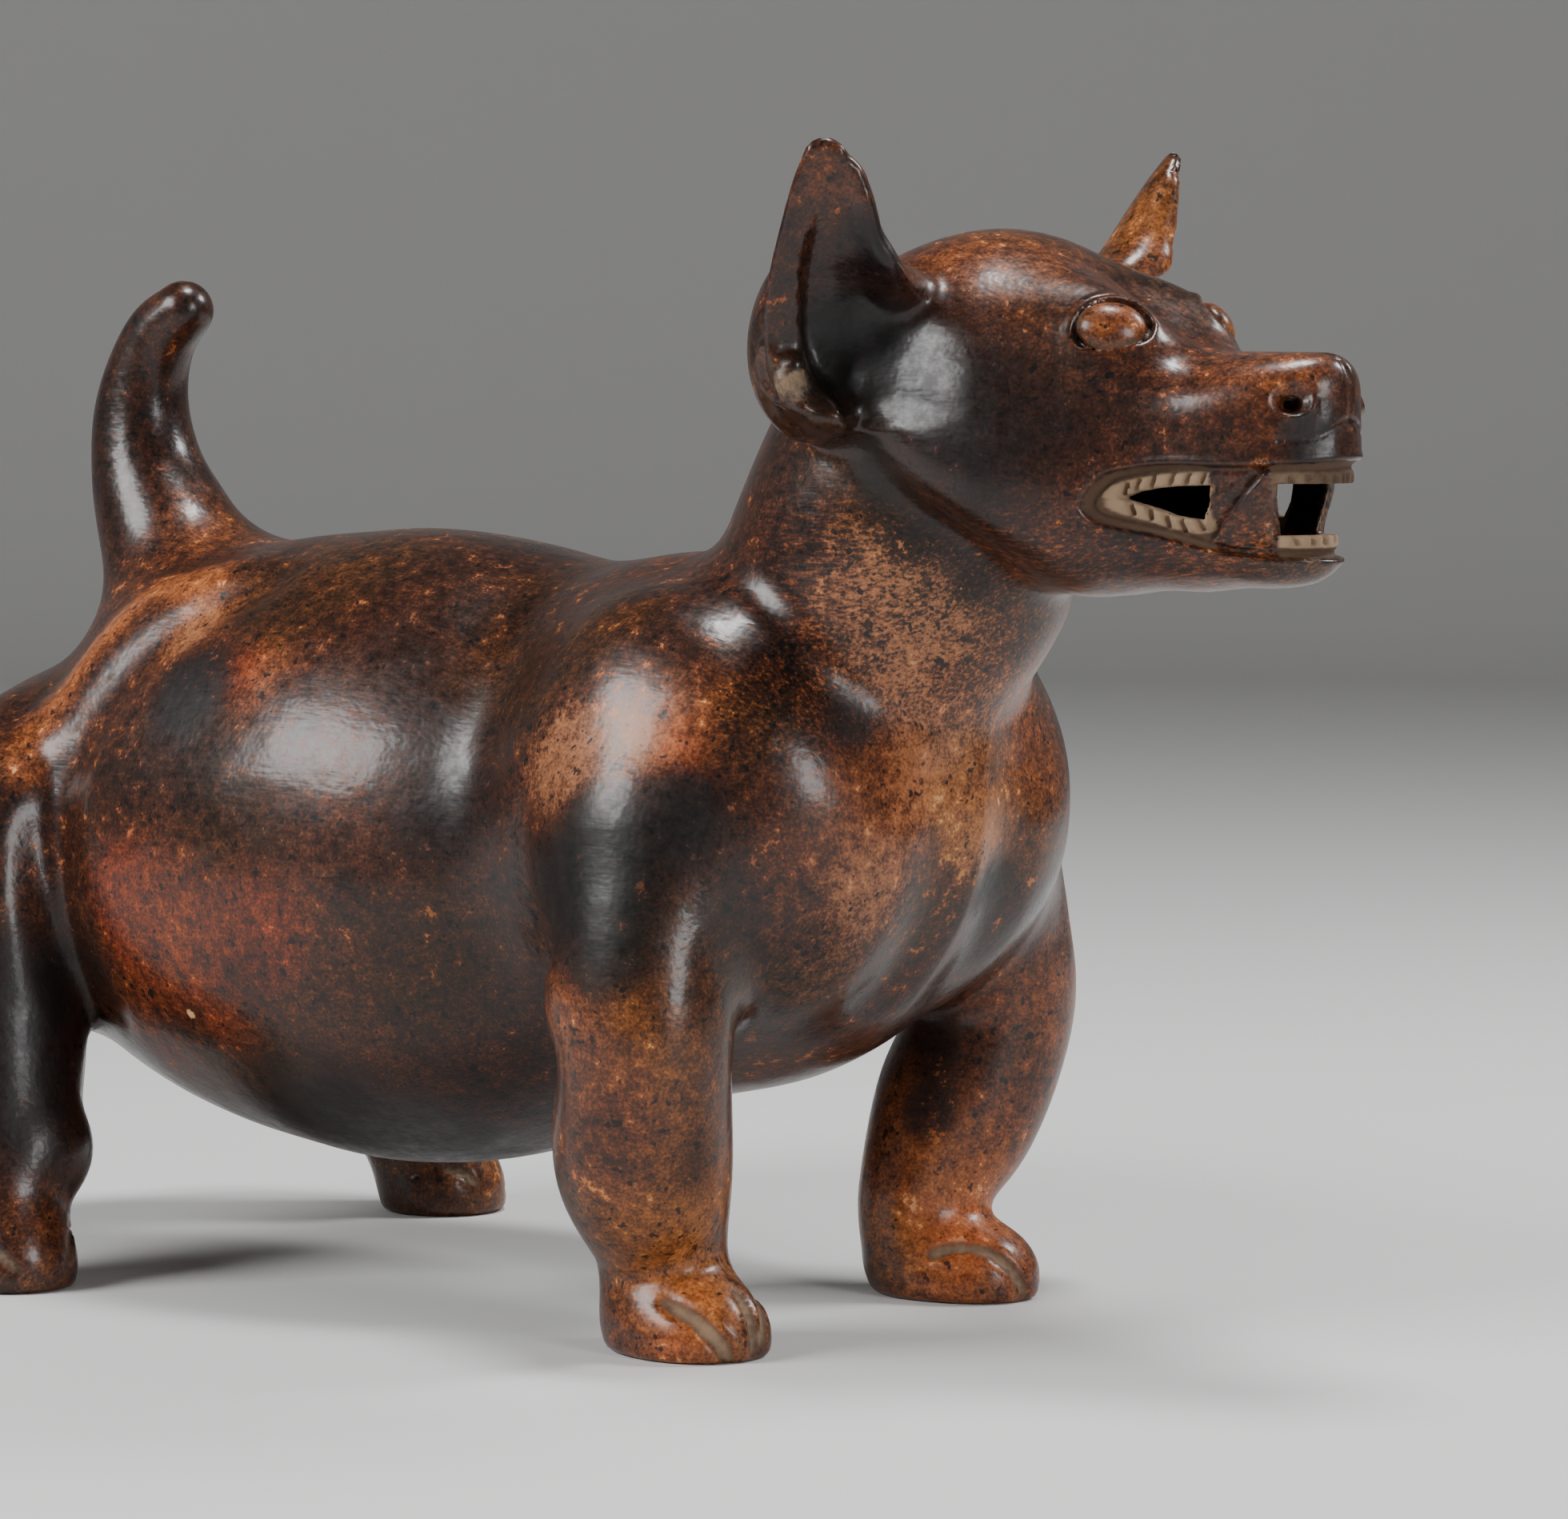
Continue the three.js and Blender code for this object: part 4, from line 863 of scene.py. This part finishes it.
# Dark zones: soot clouds. The three small ones in a row under the jaw, at x 140 to 154, paint the shadow
# beneath the jaw's edge
DARK = [
    (80, -82, 70, 10, 0.5), (112, -70, 50, 9, 0.5), (103, 36, 76, 9, 0.7), (84, -84, 60, 7, 0.5),
    (-54, -64, 150, 17, 1.0), (94, -82, 121, 24, 0.95), (73, -78, 107, 20, 0.85), (96, -87, 98, 15, 0.85),
    (108, -72, 132, 13, 0.7), (-22, -45, 44, 36, 0.8), (1, -20, 36, 25, 0.8), (19, -54, 152, 24, 0.4),
    (-2, -51, 165, 19, 0.3), (140, -39, 206, 11, 0.8), (147, -33, 193, 11, 0.8), (154, -23, 182, 11, 0.8),
    (175, -40, 214, 28, 0.6), (-99, -76, 72, 24, 1.0), (-94, -82, 43, 18, 0.8), (136, 10, 108, 10, 0.9),
    (94, 46, 64, 13, 0.7), (94, 42, 47, 9, 0.9), (136, -45, 237, 19, 1.0), (154, -60, 261, 13, 0.7),
    (109, -68, 43, 13, 0.4), (239, -10, 218, 11, 0.7), (28, -63, 126, 23, 0.6), (131, -38, 150, 11, 0.8),
    (153, -41, 234, 23, 0.6), (197, -23, 190, 19, 0.5), (-133, -15, 205, 19, 0.4), (-19, -76, 117, 26, 0.4),
    (20, 70, 100, 30, 0.8), (-70, 60, 150, 30, 0.7), (150, 40, 215, 26, 0.6),
]


def blobs(points, rows):
    """The zones of one list, joined: each fades out at one and a half times its reach."""
    rest = np.ones(len(points))
    for x, y, z, reach, strength in rows:
        share = np.clip(1 - norm(points - np.array((x, y, z), float)) / (1.5 * reach), 0, 1)
        rest *= 1 - strength * share * share * (3 - 2 * share)
    return 1 - rest


def near_line(points, line, reach):
    return ramp(-line_distance(points, line), -reach, -0.25 * reach)


def in_toe_cuts(points, folded, share):
    """Near the toe cuts, within a share of each cut's width."""
    best = np.zeros(len(points))
    for side in (-1, 1):
        for line, width in toe_lines(side):
            beside = near_line(folded, line, share * width)
            best = np.maximum(best, np.where(points[:, 1] * side > 0, beside, 0))
    return best


def on_ear_knob(folded):
    return ramp(-norm(ear_places(folded) - EAR_KNOB_MIDDLE), -7, -3)


def clay_dust(points, folded):
    """Pale clay that sits in the mouth, the grooves and the pits."""
    x, _, z = folded.T
    lips = outline_distance(x, z, rounded(LIPS, 3))
    panel = ramp(x, *PANEL_BACK) * ramp(-x, -233.0, -230.0)
    in_mouth = ramp(-lips, -0.4, 1.2) * (1 - 0.75 * panel)
    across, up, _ = own_plane(folded, EYE_AT, EYE_ACROSS, EYE_UP)
    rim = outline_distance(across, up, rounded(EYE_RIM))
    near_eye = norm(folded - EYE_AT) < 16
    nostril = norm((folded - NOSTRIL_AT) / np.array((1, 1, 0.8)))
    return np.maximum.reduce([
        np.where(in_box(folded, *MOUTH_BOX), in_mouth, 0),
        in_toe_cuts(points, folded, 1.05),
        np.where(near_eye, 0.5 * ramp(-np.abs(rim + 0.8), -1.3, -0.3), 0),
        0.30 * ramp(-nostril, -6, -3),
        0.52 * on_ear_knob(folded),
        0.35 * near_line(folded, EAR_BEAD, 2.2)])


def teeth_zone(points, folded):
    """Where the pale clay is cleanest: the rows of teeth, the toe cuts and the ear's chipped knob."""
    x, _, z = folded.T
    cheek = outline_distance(x, z, rounded(CHEEK_WINDOW, 3))
    windows = np.minimum(cheek, outline_distance(x, z, FRONT_WINDOW))
    teeth = np.where(in_box(folded, *MOUTH_BOX), ramp(-windows, -3.4, -2.2), 0)
    teeth = np.maximum(teeth, in_toe_cuts(points, folded, 0.85))
    upper_front = ramp(x, 224, 230) * ramp(z, 201, 205)
    return np.maximum(teeth * (1 - 0.7 * upper_front), 0.55 * on_ear_knob(folded))


def store_masks(mesh, points):
    folded = fold(points)
    x, _, z = points.T
    eyeballs = 0.7 * ramp(-norm(folded - EYE_AT), -10, -6)
    # A painted highlight along the hip's crest, carried in the orange mask
    crest_highlight = 0.9 * near_line(points, HIP_CREST_HIGHLIGHT, 12)
    masks = dict(
        orange=np.maximum(np.maximum(blobs(points, ORANGE), crest_highlight), eyeballs),
        red=blobs(points, RED), pale=blobs(points, PALE_AND_HIGHLIGHTS), dark=blobs(points, DARK),
        dust=clay_dust(points, folded), teeth=teeth_zone(points, folded),
        neck=ramp(x, 95, 120) * ramp(-z, -215, -190) * ramp(z, 130, 160),
        edges=near_line(folded, FANG_EDGE, 3.0))
    for name, values in masks.items():
        layer = mesh.attributes.new(name, "FLOAT", "POINT")
        layer.data.foreach_set("value", np.clip(values, 0, 1).astype(np.float32))


class Nodes:
    """Short names for the nodes that the clay is built from."""

    def __init__(self, tree):
        self.tree = tree

    def add(self, kind, inputs=(), **settings):
        node = self.tree.nodes.new(kind)
        for name, value in settings.items():
            setattr(node, name, value)
        for name, value in inputs:
            self.set(node.inputs[name], value)
        return node

    def set(self, socket, value):
        if isinstance(value, bpy.types.NodeSocket):
            self.tree.links.new(value, socket)
        else:
            socket.default_value = value

    def mask(self, name):
        return self.add("ShaderNodeAttribute", attribute_name=name).outputs["Fac"]

    def maths(self, operation, *values, clamp=False):
        node = self.add("ShaderNodeMath", operation=operation, use_clamp=clamp)
        for socket, value in zip(node.inputs, values):
            self.set(socket, value)
        return node.outputs[0]

    def noise(self, place, scale, detail=3.0, roughness=0.55, distortion=0.0):
        node = self.add("ShaderNodeTexNoise", [
            ("Vector", place), ("Scale", scale), ("Detail", detail), ("Roughness", roughness),
            ("Distortion", distortion)])
        return node.outputs["Fac"]

    def stretched(self, place, turn, stretch):
        settings = [("Vector", place), ("Rotation", turn), ("Scale", stretch)]
        return self.add("ShaderNodeMapping", settings).outputs[0]

    def ramp(self, value, start, end, low=0.0, high=1.0):
        node = self.add("ShaderNodeMapRange", [
            ("Value", value), ("From Min", start), ("From Max", end), ("To Min", low), ("To Max", high)],
            interpolation_type="SMOOTHSTEP")
        return node.outputs[0]

    def mix(self, share, first, second, blend="MIX"):
        node = self.add("ShaderNodeMix", data_type="RGBA", blend_type=blend)
        self.set(node.inputs[0], share)
        for socket, value in ((node.inputs[6], first), (node.inputs[7], second)):
            self.set(socket, value if isinstance(value, bpy.types.NodeSocket) else (*value, 1.0))
        return node.outputs[2]


# The clay's tones from soot to bare clay, in linear light, and how far along the scale each lies
TONES = [
    (0.00, (0.0045, 0.0038, 0.0038)), (0.2, (0.012, 0.006, 0.0045)), (0.36, (0.03, 0.0105, 0.006)),
    (0.5, (0.078, 0.0225, 0.0085)), (0.63, (0.17, 0.048, 0.014)), (0.78, (0.31, 0.095, 0.026)),
    (0.9, (0.43, 0.15, 0.045)), (1.00, (0.56, 0.26, 0.11)),
]
RED_TINT = (1.12, 0.66, 0.56)
PALE_AND_HIGHLIGHT_TINT = (0.32, 0.15, 0.072)
OLIVE_TINT = (0.85, 1.08, 0.75)
TOOTH_CLAY = (0.26, 0.178, 0.112)
GROOVE_DIRT = (0.07, 0.041, 0.025)
CHIP_CLAY = (0.60, 0.33, 0.15)
# How far the zones move the clay along that scale, from its middle tone
MIDDLE_TONE = 0.35
ZONE_HEAT = (("orange", 0.30), ("red", 0.22), ("pale", 0.26))
# How much the dark zones darken the clay: soot, and the painted shadow under the jaw
SOOT_AND_SHADOW_DARKENS = 0.30
# Gloss of the burnished slip, and the depth in millimetres of the relief in the shader
COAT_WEIGHT = 0.20
COAT_ROUGHNESS = 0.17
SPECULAR_LEVEL = 0.28
BUMP_DEPTH = 0.6

# Small chips through the slip, in millimetres: place and radius
CHIPS = [
    ((-54, -66, 70.5), 1.5), ((-39.5, -66, 64.5), 1.3), ((-38, -66, 62), 1.1),
    ((205, -24, 236), 1.2), ((201, -27, 228), 0.9), ((187, -33, 222), 1.1),
    ((104, -69, 19.5), 2), ((172, -36, 246), 0.9), ((166, -30, 253), 1),
]


def clay_material(shift):
    """Burnished clay. The chips' places move with the dog, by shift along its length."""
    material = bpy.data.materials.new("burnished_clay")
    material.use_nodes = True
    tree = material.node_tree
    shader = tree.nodes["Principled BSDF"]
    kit = Nodes(tree)
    place = kit.add("ShaderNodeTexCoord").outputs["Object"]

    def times(first, second):
        return kit.maths("MULTIPLY", first, second)

    def swing(value, reach):
        return times(kit.maths("SUBTRACT", value, 0.5), reach)

    def total(*values):
        result = values[0]
        for value in values[1:]:
            result = kit.maths("ADD", result, value)
        return result

    # Mottles of every size, and the strokes of the burnishing stone
    cloud = kit.noise(place, 15.0, 2.0, 0.5)
    patch = kit.noise(place, 55.0, 3.0, 0.6)
    fleck = kit.noise(place, 280.0, 3.0, 0.75)
    grain = kit.noise(place, 1300.0, 1.0, 0.6)
    strokes = kit.noise(kit.stretched(place, (0.0, 0.06, 0.0), (0.10, 1.0, 1.0)), 900.0, 1.0, 0.65)
    scratches = kit.noise(kit.stretched(place, (0.0, 0.75, 0.0), (0.16, 1.0, 1.0)), 1200.0, 2.0, 0.7)
    dents = kit.noise(place, 150.0, 0.0)

    # One scale from soot to bare clay: the zones move it slowly, the mottles break it up
    broken = total(swing(patch, 0.34), swing(fleck, 0.70), swing(grain, 0.46))
    heat = total(MIDDLE_TONE, swing(cloud, 0.42), broken, swing(strokes, 0.16))
    for zone, rise in ZONE_HEAT:
        heat = total(heat, times(kit.mask(zone), rise))
    heat = total(heat, times(swing(scratches, 1.1), kit.mask("neck")))
    # Soot clouds, and the painted shadow under the jaw's edge: soft, with a grainy border
    soot_and_shadow = kit.ramp(total(kit.mask("dark"), swing(patch, 1.3), swing(fleck, 0.9)), 0.25, 0.90)
    heat = kit.maths("SUBTRACT", heat, times(soot_and_shadow, SOOT_AND_SHADOW_DARKENS))
    # Sparse bright flecks where the slip is worn through, and sparse black specks
    bright = kit.ramp(total(fleck, swing(patch, 0.5)), 0.66, 0.72)
    heat = total(heat, times(bright, 0.22))
    specks = kit.ramp(total(kit.noise(place, 420.0, 1.0, 0.6), swing(patch, 0.3)), 0.34, 0.28)
    heat = kit.maths("SUBTRACT", heat, times(specks, 0.30))

    scale = kit.add("ShaderNodeValToRGB", [("Fac", heat)])
    marks = scale.color_ramp.elements
    for (at, tone), mark in zip((TONES[0], TONES[-1]), marks):
        mark.position, mark.color = at, (*tone, 1)
    for at, tone in TONES[1:-1]:
        marks.new(at).color = (*tone, 1)
    colour = scale.outputs["Color"]
    reddish = kit.ramp(total(kit.mask("red"), swing(patch, 0.5)), 0.15, 0.75)
    colour = kit.mix(reddish, colour, kit.mix(1.0, colour, RED_TINT, "MULTIPLY"))
    olive = kit.ramp(kit.noise(place, 21.0, 0.0), 0.48, 0.66, 0.0, 0.5)
    colour = kit.mix(olive, colour, kit.mix(1.0, colour, OLIVE_TINT, "MULTIPLY"))
    # Paler where the pale zones lie: pale clay, with painted highlights on the near shoulder and the upper
    # flank
    pale_and_highlight_share = times(kit.ramp(total(kit.mask("pale"), broken), 0.30, 0.95), 0.45)
    colour = kit.mix(times(pale_and_highlight_share, kit.ramp(heat, 0.35, 0.7)), colour, PALE_AND_HIGHLIGHT_TINT)

    # Pale clay and dirt in the mouth, the grooves and the pits, an orange edge on the fangs, and chips
    dust = kit.ramp(total(kit.mask("dust"), swing(fleck, 0.8)), 0.25, 0.65)
    toothy = kit.ramp(total(kit.mask("teeth"), swing(patch, 1.0), swing(fleck, 0.5)), 0.10, 0.85)
    clay = kit.mix(toothy, GROOVE_DIRT, TOOTH_CLAY)
    colour = kit.mix(times(dust, 0.9), colour, clay)
    worn_edge = times(kit.mask("edges"), kit.ramp(grain, 0.35, 0.6))
    colour = kit.mix(worn_edge, colour, TONES[-2][1])
    chips = 0.0
    for at, radius in CHIPS:
        spot = Vector(((at[0] + shift) * MM, at[1] * MM, at[2] * MM))
        gap = kit.add("ShaderNodeVectorMath", [(0, place), (1, spot)], operation="DISTANCE").outputs["Value"]
        ragged = total(gap, swing(grain, 1.5 * MM))
        chips = kit.maths("MAXIMUM", chips, kit.ramp(ragged, radius * MM, 0.7 * radius * MM))
    colour = kit.mix(times(chips, 0.85), colour, CHIP_CLAY)
    kit.set(shader.inputs["Base Color"], colour)

    # Gloss: burnished, duller where the slip is worn, in the grooves and in the chips
    gloss = total(kit.ramp(cloud, 0.3, 0.7, 0.29, 0.38), swing(strokes, 0.10), swing(fleck, 0.24))
    gloss = total(gloss, times(kit.ramp(heat, 0.5, 0.9), 0.07))
    gloss = total(gloss, times(kit.maths("MAXIMUM", dust, chips), 0.40), times(soot_and_shadow, 0.12))
    kit.set(shader.inputs["Roughness"], kit.maths("MINIMUM", gloss, 0.9))
    dull = kit.maths("MAXIMUM", dust, times(soot_and_shadow, 0.6))
    kit.set(shader.inputs["Coat Weight"], times(kit.maths("SUBTRACT", 1.0, dull), COAT_WEIGHT))
    shader.inputs["Coat Roughness"].default_value = COAT_ROUGHNESS
    shader.inputs["Specular IOR Level"].default_value = SPECULAR_LEVEL

    # Relief too fine for the mesh: the strokes of the stone, dents and grain
    rough = times(kit.noise(place, 420.0, 1.0, 0.6), kit.ramp(kit.mask("dust"), 0.0, 1.0, 0.22, 0.6))
    height = total(times(strokes, 0.10), times(dents, 0.42), rough)
    settings = [("Height", height), ("Strength", 0.6), ("Distance", BUMP_DEPTH * MM)]
    normal = kit.add("ShaderNodeBump", settings).outputs["Normal"]
    kit.set(shader.inputs["Normal"], normal)
    kit.set(shader.inputs["Coat Normal"], normal)
    return material


store_masks(dog.data, drawn_points)
dog.data.materials.append(clay_material(CAD_MIDDLE - drawn_middle))
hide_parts("dog_figure")
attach(dog, "root")


# Camera: where the photograph was taken from, in the drawing's own millimetres
CAMERA_AT = (975.432, -1143.974, 243.0)
CAMERA_TURN = 38.0
CAMERA_DOWN = 4.2
LENS = 137.755
SENSOR = 36.0

# Studio, in metres: the floor, the lights with their places, sizes and watts, and the world
FLOOR = dict(flat=2.6, curve=0.9, top=3.2, sides=96, colour=(0.60, 0.595, 0.59, 1))
LIGHTS_FACE = (0, 0, 0.14)
LIGHTS = [
    ("key", (-0.66, -1.22, 0.98), (0.84, 0.62), 31),
    ("top", (0.10, 0.12, 1.65), (0.34, 0.34), 21),
    ("back", (0.70, 0.85, 1.10), (0.38, 0.38), 16),
    ("front", (1.55, -0.35, 0.55), (0.45, 0.6), 12),
]
WORLD_COLOUR = (0.9, 0.9, 0.9, 1)
WORLD_STRENGTH = 0.04


def make_camera():
    data = bpy.data.cameras.new("photo_camera")
    data.lens = LENS
    data.sensor_width = SENSOR
    data.sensor_fit = "HORIZONTAL"
    data.clip_end = 50
    camera = bpy.data.objects.new("photo_camera", data)
    camera.location = Vector((CAMERA_AT[0] - drawn_middle, CAMERA_AT[1], CAMERA_AT[2])) * MM
    camera.rotation_euler = (math.radians(90 - CAMERA_DOWN), 0, math.radians(CAMERA_TURN))
    bpy.context.scene.collection.objects.link(camera)
    bpy.context.scene.camera = camera


def make_floor():
    """A round pale floor whose rim curves up into a wall far behind the dog."""
    flat, curve, count = FLOOR["flat"], FLOOR["curve"], FLOOR["sides"]
    profile = [(0.0, 0.0), (flat, 0.0)]
    for step in range(1, 13):
        turn = math.radians(90 * step / 12)
        profile.append((flat + curve * math.sin(turn), curve * (1 - math.cos(turn))))
    profile.append((flat + curve, FLOOR["top"]))
    points = [(0.0, 0.0, 0.0)]
    for radius, height in profile[1:]:
        for step in range(count):
            turn = 2 * math.pi * step / count
            points.append((radius * math.cos(turn), radius * math.sin(turn), height))
    faces = [(0, 1 + step, 1 + (step + 1) % count) for step in range(count)]
    for ring in range(len(profile) - 2):
        for step in range(count):
            a, b = 1 + ring * count + step, 1 + ring * count + (step + 1) % count
            faces.append((a, a + count, b + count, b))
    mesh = bpy.data.meshes.new("floor")
    mesh.from_pydata(points, [], faces)
    mesh.polygons.foreach_set("use_smooth", [True] * len(mesh.polygons))
    floor = bpy.data.objects.new("floor", mesh)
    bpy.context.scene.collection.objects.link(floor)
    material = bpy.data.materials.new("pale_floor")
    material.use_nodes = True
    shader = material.node_tree.nodes["Principled BSDF"]
    shader.inputs["Base Color"].default_value = FLOOR["colour"]
    shader.inputs["Roughness"].default_value = 0.7
    mesh.materials.append(material)


def area_light(name, place, size, power):
    """A soft rectangular light that faces the middle of the dog."""
    data = bpy.data.lights.new(name, "AREA")
    data.shape = "RECTANGLE"
    data.size, data.size_y = size
    data.energy = power
    light = bpy.data.objects.new(name, data)
    light.location = place
    way = Vector(LIGHTS_FACE) - Vector(place)
    light.rotation_euler = way.to_track_quat("-Z", "Y").to_euler()
    bpy.context.scene.collection.objects.link(light)


def make_world():
    world = bpy.data.worlds.new("studio")
    world.use_nodes = True
    background = world.node_tree.nodes["Background"]
    background.inputs["Color"].default_value = WORLD_COLOUR
    background.inputs["Strength"].default_value = WORLD_STRENGTH
    bpy.context.scene.world = world


make_camera()
make_floor()
for light in LIGHTS:
    area_light(*light)
make_world()
